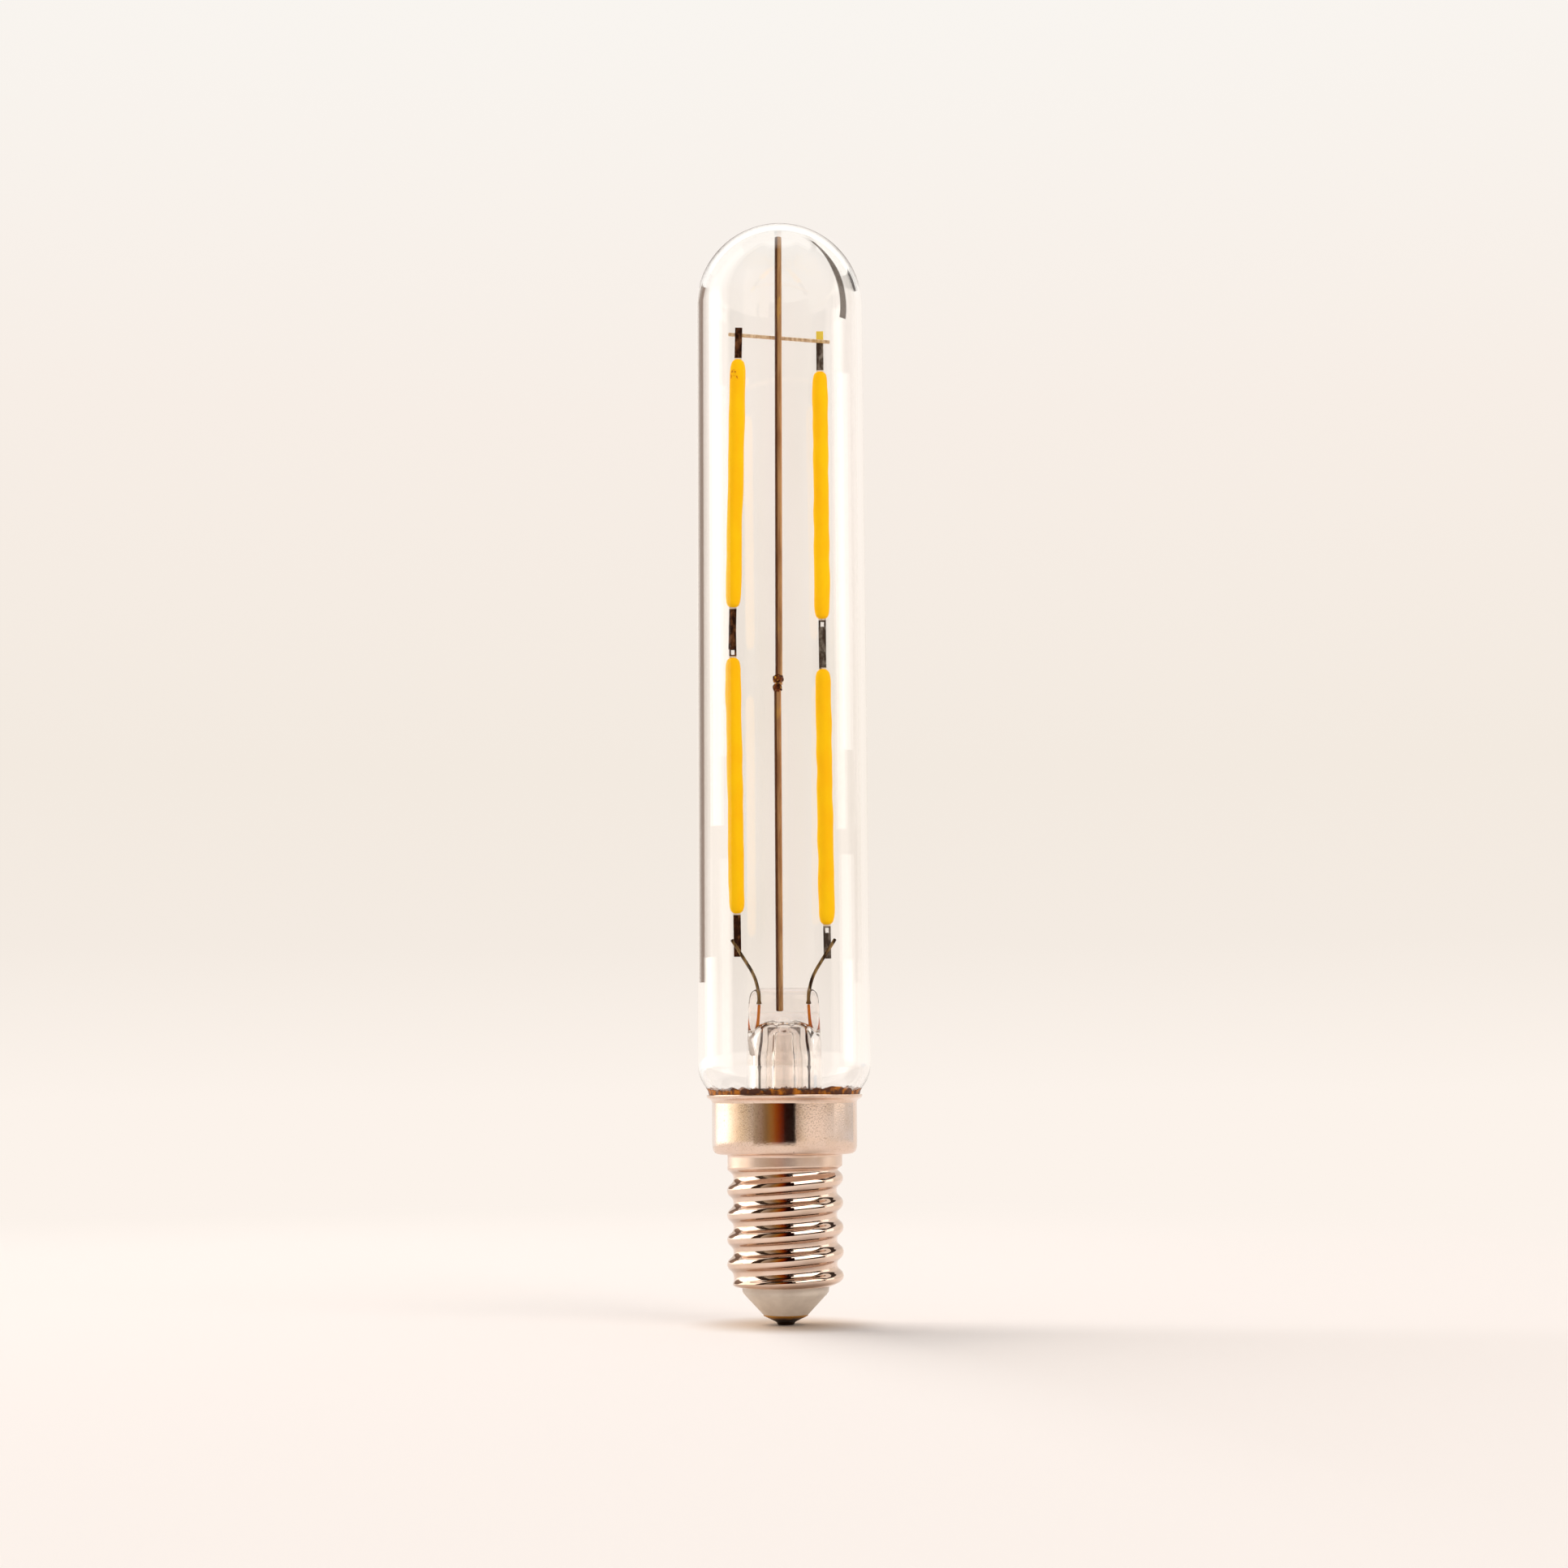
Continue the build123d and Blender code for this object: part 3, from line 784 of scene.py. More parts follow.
@dataclass(frozen=True)
class SealWire(DrawnWire):
    """Copper-clad wire, bright in the seal and burnt below it.

    Args:
        burnt: Tone below the seal.
        seal: Heights between which the burnt tone gives way to copper.
    """

    name: str = "seal_wire"
    pale: Colour = tone(252, 146, 36)
    dark: Colour = tone(222, 98, 14)
    glint: Colour = tone(255, 176, 70)
    metal: float = 0.2
    rough: float = 0.45
    burnt: Colour = tone(74, 36, 20)
    seal: tuple[float, float] = (33.4 * MM, 34.6 * MM)

    def body(self, graph: Graph, colour: Value) -> Value:
        """Darken the wire below the seal."""
        return graph.mix(graph.axes()[2].step(*self.seal), self.burnt, colour)


@dataclass(frozen=True)
class PhosphorCoat(Finish):
    """Yellow phosphor in silicone, a little uneven and scorched in spots, with a faint painted glow.

    Args:
        burn: Middle of a burnt spot, as (x, z), by default far below the lamp.
        burn_reach: Radius of the burnt spot.
        glow: Strength of the painted glow, which the coat gives off under any light.
    """

    name: str = "phosphor_coat"
    bright: Colour = tone(255, 200, 0)
    deep: Colour = tone(255, 190, 0)
    scorch: Colour = tone(176, 88, 4)
    burn: tuple[float, float] = (0.0, -1.0)
    burn_reach: float = 0.8 * MM
    glow: float = 0.26

    def shader(self, graph: Graph) -> Value:
        """Cloud two yellows and add a few scorched spots, more of them round the burn.

        Args:
            graph: Nodes of the material.

        Returns:
            The shader.
        """
        cloud = graph.grain(2.4 * MM, 4.0, (1, 1, 0.5))
        fine = graph.grain(0.25 * MM, 2.0)
        spots = graph.specks(5.5 * MM, 0.02, 0.06)
        colour = graph.mix(cloud.step(0.3, 0.7), self.deep, self.bright)
        x, _, z = graph.axes()
        off = norm(x - self.burn[0], z - self.burn[1])
        near = 1 - off.step(self.burn_reach * 0.6, self.burn_reach)
        burnt = near * graph.grain(0.5 * MM, 2.0).step(0.52, 0.62)
        colour = graph.mix((spots * 0.7).maximum(burnt * 0.8), colour, self.scorch)
        return graph.surface(
            {
                "Base Color": colour,
                # Painted glow: the coat emits its own colour, though it is no lamp.
                "Emission Color": colour,
                "Emission Strength": self.glow,
                "Roughness": 0.5 + (fine - 0.5) * 0.2,
                "Specular IOR Level": 0.15,
                "Normal": graph.bump(fine, 0.02 * MM, 0.35),
            }
        )


class Tarnish(Enum):
    """How the heat left a filament's tabs, as (pale, dark) tones."""

    BURNT = (tone(150, 100, 62), tone(58, 30, 16))
    BARE = (tone(176, 166, 154), tone(96, 84, 74))


@dataclass(frozen=True)
class TabMetal(Finish):
    """Stamped strip, tarnished by heat.

    Args:
        tarnish: Its two tones.
        gilt_from: Height above which it is gilt.
        bare_end: Heights between which it is bare.
    """

    name: str
    tarnish: Tarnish
    gilt_from: float
    bare_end: tuple[float, float]
    gilt: Colour = tone(255, 226, 84)
    bare: Colour = tone(240, 232, 222)

    def shader(self, graph: Graph) -> Value:
        """Blotch two tones, scratched along the strip, gilt above a height and bare at the coat's end.

        Args:
            graph: Nodes of the material.

        Returns:
            The shader.
        """
        pale, dark = self.tarnish.value
        blotch = graph.grain(0.55 * MM, 4.0, (1, 1, 0.6))
        scratch = graph.grain(0.18 * MM, 2.0, (1, 1, 0.12))
        colour = graph.mix((blotch * 0.7 + scratch * 0.3).step(0.42, 0.66), dark, pale)
        z = graph.axes()[2]
        tip = z.step(self.gilt_from, self.gilt_from + 0.1 * MM)
        bare = z.within(*self.bare_end, 0.05 * MM)
        colour = graph.mix(tip, colour, self.gilt)
        return graph.surface(
            {
                "Base Color": graph.mix(bare * blotch.step(0.3, 0.5), colour, self.bare),
                "Metallic": 0.85 - tip.maximum(bare) * 0.75,
                "Roughness": 0.3 + blotch * 0.25,
                "Normal": graph.bump(scratch, 0.015 * MM, 0.5),
            }
        )


@dataclass(frozen=True)
class WeldSlag(Finish):
    """Charred weld metal with bright gold flecks."""

    name: str = "weld_slag"
    char: Colour = tone(44, 20, 8)
    rust: Colour = tone(120, 58, 16)
    gold: Colour = tone(232, 176, 60)

    def shader(self, graph: Graph) -> Value:
        """Break the char up with rust and gold flecks.

        Args:
            graph: Nodes of the material.

        Returns:
            The shader.
        """
        lump = graph.grain(0.45 * MM, 4.0)
        fleck = graph.grain(0.3 * MM, 2.0)
        colour = graph.mix(lump.step(0.42, 0.6), self.char, self.rust)
        return graph.surface(
            {
                "Base Color": graph.mix(fleck.step(0.58, 0.66), colour, self.gold),
                "Metallic": 0.6,
                "Roughness": 0.25 + lump * 0.35,
                "Normal": graph.bump(lump, 0.12 * MM, 0.8),
            }
        )


@dataclass(frozen=True)
class ContactBrass(Finish):
    """Dull brass contact, with painted shade: darker towards the bottom, for the dark reflection of the
    floor under it.
    """

    name: str = "contact_brass"
    brass: Colour = tone(186, 132, 52)
    dark: Colour = tone(58, 38, 22)
    painted_shade_to: float = 0.6 * MM
    lit_from: float = 1.0 * MM

    def shader(self, graph: Graph) -> Value:
        """Paint shade on the button and leave the edge of the dish bright.

        Args:
            graph: Nodes of the material.

        Returns:
            The shader.
        """
        cloud = graph.grain(0.8 * MM, 4.0)
        # Painted shade: the button is darker towards the bottom, standing in for the dark reflection of
        # the shaded floor beneath.
        lit = graph.axes()[2].step(self.painted_shade_to, self.lit_from)
        share = (lit * 0.8 + (cloud - 0.5) * 0.9).step(0.1, 0.8)
        return graph.surface(
            {
                "Base Color": graph.mix(share, self.dark, self.brass),
                "Metallic": 0.9,
                "Roughness": 0.28 + cloud * 0.25,
                "Normal": graph.bump(cloud, 0.03 * MM, 0.4),
            }
        )


@dataclass(frozen=True)
class PaleMoulding(Finish):
    """Pale grey satin moulding of the insulator."""

    name: str = "pale_moulding"
    base: Colour = tone(228, 217, 203)
    shade: Colour = tone(213, 201, 187)

    def shader(self, graph: Graph) -> Value:
        """Cloud two greys over fine orange peel.

        Args:
            graph: Nodes of the material.

        Returns:
            The shader.
        """
        cloud = graph.grain(2.5 * MM)
        fine = graph.grain(0.2 * MM, 2.0)
        return graph.surface(
            {
                "Base Color": graph.mix(cloud.step(0.35, 0.7), self.base, self.shade),
                "Roughness": 0.4 + (fine - 0.5) * 0.15,
                "Normal": graph.bump(fine, 0.01 * MM, 0.5),
            }
        )


@dataclass(frozen=True)
class Mottled(Finish):
    """A plain matter of two tones that one noise mottles, roughens and bumps.

    Args:
        base: Tone where the noise is low.
        top: Tone where it is high.
        size: Size of the mottles.
        detail: Octaves of finer noise.
        change: Noise between which the base gives way to the top.
        rough: Roughness where the noise is 0, and how much the noise adds.
        bump: Depth and strength of the bump.
        squash: How many times finer the mottles are along each axis.
        shine: Level of mirroring.
    """

    name: str
    base: Colour
    top: Colour
    size: float
    detail: float
    change: tuple[float, float]
    rough: tuple[float, float]
    bump: tuple[float, float]
    squash: tuple[float, float, float] = (1, 1, 1)
    shine: float = 0.5

    def shader(self, graph: Graph) -> Value:
        """Mottle the two tones.

        Args:
            graph: Nodes of the material.

        Returns:
            The shader.
        """
        noise = graph.grain(self.size, self.detail, self.squash)
        return graph.surface(
            {
                "Base Color": graph.mix(noise.step(*self.change), self.base, self.top),
                "Roughness": self.rough[0] + noise * self.rough[1],
                "Specular IOR Level": self.shine,
                "Normal": graph.bump(noise, *self.bump),
            }
        )


TUBE_GLASS = CrownGlass()
STEM_GLASS = ClearGlass("stem_glass", tone(252, 248, 245), tone(248, 243, 239), 0.02)
LEAD_WIRE = DrawnWire("lead_wire", tone(168, 138, 92), tone(62, 44, 30), tone(206, 168, 84))
SEAL_WIRE = SealWire()
TAIL_WIRE = DrawnWire("tail_wire", tone(120, 84, 60), tone(58, 36, 24), tone(150, 112, 80))
BAR_WIRE = DrawnWire("bar_wire", tone(252, 228, 194), tone(214, 176, 136), tone(252, 214, 128), 0.4, 0.34)
CEMENT = Mottled(
    "capping_cement", tone(80, 36, 2), tone(204, 122, 10), 1.1 * MM, 4.0,
    (0.42, 0.68), (0.3, 0.3), (0.15 * MM, 0.7), shine=0.3,
)
BOARD = Mottled(
    "circuit_board", tone(226, 224, 214), tone(196, 198, 182), 0.5 * MM, 1.0,
    (0.4, 0.6), (0.3, 0.15), (0.01 * MM, 0.4), squash=(1, 1, 3),
)
CHIP_MOULD, CHIP_CERAMIC = (
    Mottled(name, base, grit, 0.15 * MM, 3.0, (0.4, 0.7), (0.5, 0.2), (0.02 * MM, 0.5))
    for name, base, grit in (
        ("chip_mould", tone(34, 34, 36), tone(58, 58, 60)),
        ("chip_ceramic", tone(52, 46, 44), tone(80, 72, 66)),
    )
)


# Sub-assemblies


def piece(node: str, patches: Sequence[Patch], finish: Finish, crease: float = 38.0) -> None:
    """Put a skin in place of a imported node.

    Args:
        node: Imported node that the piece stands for.
        patches: Closed skins that make up the piece.
        finish: What it is made of.
        crease: Angle past which an edge stays sharp, in degrees.
    """
    shift = np.cumsum([0, *(len(patch.points) for patch in patches)])
    points = np.vstack([patch.points for patch in patches])
    quads = np.vstack([patch.quads + start for patch, start in zip(patches, shift)])
    tris = np.vstack([patch.tris + start for patch, start in zip(patches, shift)])
    corners = np.concatenate((quads.ravel(), tris.ravel()))
    starts = np.concatenate((np.arange(len(quads)) * 4, len(quads) * 4 + np.arange(len(tris)) * 3))
    mesh = bpy.data.meshes.new(f"{node}.dressed")
    mesh.vertices.add(len(points))
    mesh.vertices.foreach_set("co", points.ravel())
    mesh.loops.add(len(corners))
    mesh.loops.foreach_set("vertex_index", corners)
    mesh.polygons.add(len(starts))
    mesh.polygons.foreach_set("loop_start", starts)
    mesh.polygons.foreach_set("use_smooth", np.ones(len(starts), dtype=bool))
    mesh.update(calc_edges=True)
    mesh.validate()
    mesh.set_sharp_from_angle(angle=math.radians(crease))
    mesh.materials.append(material(finish))
    made = bpy.data.objects.new(f"{node}.dressed", mesh)
    bpy.context.scene.collection.objects.link(made)
    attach(made, BODY)
    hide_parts(node)
    LOG.info("%s: %d faces of %s", made.name, len(starts), finish.name)


def wire(node: str, path: np.ndarray, radius: float, finish: Finish, sides: int) -> None:
    """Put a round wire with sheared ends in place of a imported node.

    Args:
        node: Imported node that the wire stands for.
        path: Points of its centre line.
        radius: Its radius.
        finish: What it is made of.
        sides: Points round the wire.
    """
    patch = carry(path, circle(sides), np.full(len(path), radius), 0.35, radius)
    piece(node, [patch], finish)


def middle(node: str) -> np.ndarray:
    """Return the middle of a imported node's box."""
    low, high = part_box(node)
    return (np.array(low) + np.array(high)) / 2


def ends(node: str) -> tuple[float, float, float]:
    """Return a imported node's lower end, its upper end and half its width."""
    low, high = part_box(node)
    return low[2], high[2], (high[0] - low[0]) / 2


@dataclass
class GlassTube:
    """The blown tube: a double wall, domed at the crown and drawn in to the seal."""

    wall: float = 0.8 * MM
    seal_radius: float = 7.9 * MM
    seal_width: float = 1.3 * MM
    shoulder_angle: float = 60.0
    cols: int = 240
    dome_rows: int = 48
    side_rows: int = 40
    neck_rows: int = 28
    low: float = field(init=False)
    high: float = field(init=False)
    reach: float = field(init=False)

    def __post_init__(self) -> None:
        """Read the tube's ends and its widest radius from the frame."""
        self.low, self.high, self.reach = ends("glass_tube")

    def shoulder(self) -> float:
        """Return the height at which the drawn-in arc starts."""
        return self.low + (self.reach - self.seal_radius) / math.tan(math.radians(self.shoulder_angle) / 2)

    def neck_arc(self, inset: float, foot: float) -> np.ndarray:
        """Draw the arc from the widest point down to the seal.

        The arc starts upright at radius a and ends at radius b after a drop h, so its radius is
        (d^2 + h^2) / 2d with d = a - b.

        Args:
            inset: Depth under the outer face.
            foot: Radius at the seal.

        Returns:
            Points from the top of the arc to its foot.
        """
        wide, drop = self.reach - inset, self.shoulder() - self.low
        draw = wide - foot
        radius = (draw**2 + drop**2) / (2 * draw)
        sweep = math.degrees(math.asin(drop / radius))
        return arc((wide - radius, self.shoulder()), radius, 0.0, -sweep, self.neck_rows)

    def outline(self, inset: float, foot: float) -> np.ndarray:
        """Draw one wall from the crown to the seal.

        The dome is a quarter circle, the side is upright, and the neck is an arc.

        Args:
            inset: Depth under the outer face.
            foot: Radius at the seal.

        Returns:
            Points of (radius, height) from the crown down.
        """
        side = self.reach - inset
        dome = arc((0.0, self.high - self.reach), side, 90.0, 0.0, self.dome_rows)
        run = np.linspace(dome[-1, 1], self.shoulder(), self.side_rows)[1:-1]
        upright = np.stack((np.full(len(run), side), run), axis=-1)
        return np.vstack((dome, upright, self.neck_arc(inset, foot)))

    def build(self) -> None:
        """Join the outer and inner walls at the seal into one skin."""
        outer = self.outline(0.0, self.seal_radius)
        inner = self.outline(self.wall, self.seal_radius - self.seal_width)
        piece("glass_tube", [lathe(np.vstack((outer, inner[::-1])), self.cols)], TUBE_GLASS)


@dataclass
class GlassStem:
    """The flared stem, pressed flat round the wires, and the exhaust tube inside it."""

    radius: float = 4.4 * MM
    bore: float = 3.5 * MM
    seal_radius: float = 7.86 * MM
    seal_thickness: float = 0.9 * MM
    flare: float = 1.1 * MM
    tube_top: float = 30.5 * MM
    pinch_bottom: float = 36.3 * MM
    pinch_half_width: float = 4.2 * MM
    top_half_width: float = 3.75 * MM
    pinch_half_depth: float = 1.6 * MM
    pinch_squareness: float = 1.5
    round_over: float = 0.8 * MM
    bulge: float = 0.45
    wall: float = 0.8 * MM
    arch_base: float = 32.6 * MM
    arch_top: float = 35.0 * MM
    arch_power: float = 2.6
    hole_height: float = 34.5 * MM
    hole_radius: float = 0.85 * MM
    hole_depth: float = 0.7 * MM
    exhaust_radius: float = 2.2 * MM
    exhaust_bore: float = 1.1 * MM
    exhaust_top: float = 34.2 * MM
    fuse_gap: float = 0.04 * MM
    round_end: float = 80.0
    tip_start: float = -85.0
    cols: int = 160
    rows: int = 90
    arch_rows: int = 40
    side_rows: int = 24
    tube_rows: int = 50
    curve_rows: int = 16
    low: float = field(init=False)
    high: float = field(init=False)

    def __post_init__(self) -> None:
        """Read the stem's ends from the frame."""
        self.low, self.high, _ = ends("glass_stem")

    def body(self, height: np.ndarray) -> tuple[np.ndarray, np.ndarray, np.ndarray]:
        """Give the stem's section at each height as a superellipse.

        Below, it is a circle. Over the press marks it turns by a smooth step into a flat section
        of half width a and half depth b with squarer corners, |x/a|^n + |y/b|^n = 1.

        Args:
            height: Heights above the flare.

        Returns:
            Half widths, half depths and exponents.
        """
        press = smooth(height, self.tube_top, self.pinch_bottom)
        u = np.clip((height - self.pinch_bottom) / (self.high - self.pinch_bottom), 0.0, 1.0)
        wide = self.pinch_half_width + (self.top_half_width - self.pinch_half_width) * u**2
        half_width = self.radius + (wide - self.radius) * press
        half_depth = self.radius + (self.pinch_half_depth - self.radius) * press
        return half_width, half_depth, 2 + self.pinch_squareness * press

    def hollow(self, height: np.ndarray) -> tuple[np.ndarray, np.ndarray]:
        """Give the cavity's half width and half depth at each height.

        It is round below and keeps a wall under the pressed faces. Over the arch its width shrinks
        as (1 - q^n)^(1/n), q running from 0 at the arch's base to 1 at its top, and its depth as
        the root of that.

        Args:
            height: Heights inside the stem.

        Returns:
            Half widths and half depths.
        """
        q = np.clip((height - self.arch_base) / (self.arch_top - self.arch_base), 0.0, 1.0)
        cap = (1 - q**self.arch_power) ** (1 / self.arch_power)
        depth = np.minimum(self.bore, self.body(height)[1] - self.wall)
        return self.bore * cap, depth * np.sqrt(cap)

    def outer_grid(self) -> np.ndarray:
        """Build the outer face, from the seal's foot over the flare and pinch to the top edge.

        A section point is (a |cos|^(2/n), b |sin|^(2/n)) with the signs of cos and sin, and the
        pressed sides swell by a share of (x/a)^4. The blow hole is a round dent d exp(-q^4) in the
        front, q being the distance over its radius.

        Returns:
            Grid of points.
        """
        seal_top = self.low + self.seal_thickness
        centre = (self.radius + self.flare, seal_top + self.flare)
        curve = arc(centre, self.flare, 270.0, 180.0, self.curve_rows)
        foot = ((self.seal_radius, self.low), (self.seal_radius, seal_top))
        skirt = np.vstack((foot, curve))
        rise = np.linspace(curve[-1, 1], self.high - self.round_over, self.rows)[1:]
        lean = np.radians(np.linspace(0.0, self.round_end, 9))[1:]
        height = np.concatenate((rise, self.high - self.round_over * (1 - np.sin(lean))))
        half_width, half_depth, power = (a[:, None] for a in self.body(height))
        cut = np.concatenate((np.zeros(len(rise)), self.round_over * (1 - np.cos(lean))))[:, None]
        cos, sin = np.cos(around(self.cols)), np.sin(around(self.cols))
        x = (half_width - cut) * np.sign(cos) * np.abs(cos) ** (2 / power)
        y = (half_depth - cut) * np.sign(sin) * np.abs(sin) ** (2 / power)
        y *= 1 + self.bulge * (power - 2) * (x / half_width) ** 4
        z = np.broadcast_to(height[:, None], x.shape)
        reach = ((x / self.hole_radius) ** 2 + ((z - self.hole_height) / self.hole_radius) ** 2) ** 2
        y = y + np.where(y < 0, self.hole_depth * np.exp(-reach), 0.0)
        return np.vstack((turn(*skirt.T, self.cols), np.stack((x, y, z), axis=-1)))

    def inner_grid(self) -> np.ndarray:
        """Build the cavity's face from under its crown down to the seal's foot.

        Returns:
            Grid of points.
        """
        lean = np.linspace(0.03, math.pi / 2, self.arch_rows)
        arch = self.arch_base + (self.arch_top - self.arch_base) * np.cos(lean)
        side = np.linspace(self.arch_base, self.low + self.flare, self.side_rows)[1:]
        foot = arc((self.bore + self.flare, self.low + self.flare), self.flare, 180.0, 270.0, 10)[1:]
        height = np.concatenate((arch, side))
        half_width, half_depth = self.hollow(height)
        face = turn(half_width, height, self.cols, half_depth)
        return np.vstack((face, turn(*foot.T, self.cols)))

    def exhaust(self) -> None:
        """Build the exhaust tube, squeezed at its top to fit the pressed cavity."""
        low = ends("exhaust_tube")[0]
        rise = np.linspace(low + self.exhaust_radius, self.exhaust_top, self.tube_rows)
        room = self.hollow(rise)[1] - self.fuse_gap
        rows = []
        wall = self.exhaust_radius - self.exhaust_bore
        for radius, thin in ((self.exhaust_radius, 0.0), (self.exhaust_bore, wall)):
            tip = arc((0.0, rise[0]), radius, self.tip_start, 0.0, self.curve_rows)[:-1]
            depth = np.minimum(radius, room - thin / 2)
            wide = np.concatenate((tip[:, 0], np.full(len(rise), radius)))
            deep = np.concatenate((tip[:, 0], depth))
            rows.append(turn(wide, np.concatenate((tip[:, 1], rise)), self.cols, deep))
        grid = np.vstack((rows[0], rows[1][::-1]))
        piece("exhaust_tube", [skin(grid, *poles(low, low + wall))], STEM_GLASS)

    def build(self) -> None:
        """Build the stem as one skin, from the pinch's top round the flare to the cavity's crown."""
        grid = np.vstack((self.outer_grid()[::-1], self.inner_grid()[::-1]))
        piece("glass_stem", [skin(grid, *poles(self.high, self.arch_top))], STEM_GLASS, 60.0)
        self.exhaust()


@dataclass
class WireMount:
    """The wires: leads, seal wires, tails, the welded post and the crossbar."""

    lead_radius: float = 0.2 * MM
    seal_wire_radius: float = 0.17 * MM
    tail_radius: float = 0.15 * MM
    post_radius: float = 0.425 * MM
    crossbar_radius: float = 0.225 * MM
    lead_x: float = 2.95 * MM
    seal_bow: float = 0.12 * MM
    knot_radius: float = 0.3 * MM
    bend_height: float = 39.7 * MM
    bend_cut: float = 2.1 * MM
    tip: tuple[float, float] = (6.1 * MM, 44.65 * MM)
    wave: float = 0.04 * MM
    wave_length: float = 0.7 * MM
    wave_from: float = 0.97
    bead_radius: float = 0.66 * MM
    drop_radius: float = 0.58 * MM
    bead_mean: float = 0.94
    bead_lump: float = 0.09
    sides: int = 20
    post_sides: int = 28
    rows: int = 60

    def knotted(self, path: np.ndarray, radius: float, knot: float) -> Patch:
        """Carry a round wire along a path, swollen round a knot: r + k exp(-1.4 (z - z0)^2 / w^2).

        Args:
            path: Points of the centre line.
            radius: Radius of the wire.
            knot: Height of the knot.

        Returns:
            The closed patch.
        """
        rise = (self.knot_radius - radius) * np.exp(-(((path[:, 2] - knot) / self.knot_radius) ** 2) * 1.4)
        return carry(path, circle(self.sides), radius + rise, 0.4, radius)

    def leads(self, side: str, way: int) -> None:
        """Build one side's lead, seal wire and tail.

        Args:
            side: "left" or "right".
            way: -1 on the left and 1 on the right.
        """
        x = way * self.lead_x
        low, knot, _ = ends(f"{side}_seal_wire")
        corners = ((x, 0, knot), (x, 0, self.bend_height), (way * self.tip[0], 0, self.tip[1]))
        path = resample(rounded(corners, (self.bend_cut,), 14), 70)
        share = np.clip(path[:, 2] / self.bend_height - self.wave_from, 0, 0.5)
        path[:, 0] += self.wave * np.sin(path[:, 2] / self.wave_length) * share
        piece(f"{side}_inner_lead", [self.knotted(path, self.lead_radius, knot)], LEAD_WIRE)
        run = np.linspace(low, knot - self.knot_radius / 2, 40)
        bow = x + way * self.seal_bow * np.sin(math.pi * (run - low) / (knot - low))
        line = np.stack((bow, np.zeros_like(run), run), axis=-1)
        wire(f"{side}_seal_wire", line, self.seal_wire_radius, SEAL_WIRE, self.sides)
        run = np.linspace(ends(f"{side}_tail_wire")[0], low, self.rows)
        line = np.stack((np.full_like(run, x), np.zeros_like(run), run), axis=-1)
        piece(f"{side}_tail_wire", [self.knotted(line, self.tail_radius, low)], TAIL_WIRE)

    def straight(self, node: str, lean: int, radius: float, finish: Finish, axis: int) -> None:
        """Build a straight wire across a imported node's box.

        Args:
            node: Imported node.
            lean: Sign of the wire's lean in the XZ plane.
            radius: Radius of the wire.
            finish: What it is made of.
            axis: 0 where it runs along X, or 2 where it runs along Z.
        """
        low, high = (np.array(corner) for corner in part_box(node))
        inset = np.array((radius, 0.0, 0.0)) if axis == 2 else np.array((0.0, 0.0, radius))
        start, end = low + inset, high - inset
        start[1] = end[1] = (low[1] + high[1]) / 2
        if lean < 0:
            start[2 - axis], end[2 - axis] = end[2 - axis], start[2 - axis]
        path = start + np.linspace(0.0, 1.0, self.rows)[:, None] * (end - start)
        wire(node, path, radius, finish, self.post_sides)

    def side_shaded(self, node: str) -> PostWire:
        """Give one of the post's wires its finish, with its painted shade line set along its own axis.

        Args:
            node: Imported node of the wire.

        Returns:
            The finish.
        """
        low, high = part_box(node)
        lean = (high[0] - low[0] - 2 * self.post_radius) / (high[2] - low[2])
        return PostWire(f"{node}_wire", foot=(low[0] + self.post_radius, low[2]), lean=lean)

    def bead(self, centre: np.ndarray, radius: float, seed: int) -> Patch:
        """Build a lumpy bead: a sphere of radius r (m + k f), f being a smooth unevenness.

        Args:
            centre: Its middle.
            radius: Its largest radius, about.
            seed: Seed of the unevenness.

        Returns:
            The closed patch.
        """
        tilt = np.linspace(0.0, math.pi, 40)
        ball = turn(np.sin(tilt), np.cos(tilt), 56)
        size = radius * (self.bead_mean + self.bead_lump * Ripple(1.1, seed).at(ball))[..., None]
        skinned = centre + ball * size
        return skin(skinned[1:-1], skinned[0, 0], skinned[-1, 0])

    def build(self) -> None:
        """Build every wire and the weld."""
        for side, way in (("left", -1), ("right", 1)):
            self.leads(side, way)
        for node in ("lower_post", "upper_post"):
            self.straight(node, 1, self.post_radius, self.side_shaded(node), 2)
        self.straight("crossbar", -1, self.crossbar_radius, BAR_WIRE, 0)
        low, high = (np.array(corner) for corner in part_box("post_weld"))
        centre = (low + high) / 2
        upper = np.array((centre[0], centre[1], high[2] - self.bead_radius))
        lower = np.array((low[0] + self.drop_radius, centre[1], low[2] + self.drop_radius))
        beads = [self.bead(upper, self.bead_radius, 5), self.bead(lower, self.drop_radius, 8)]
        piece("post_weld", beads, WeldSlag())


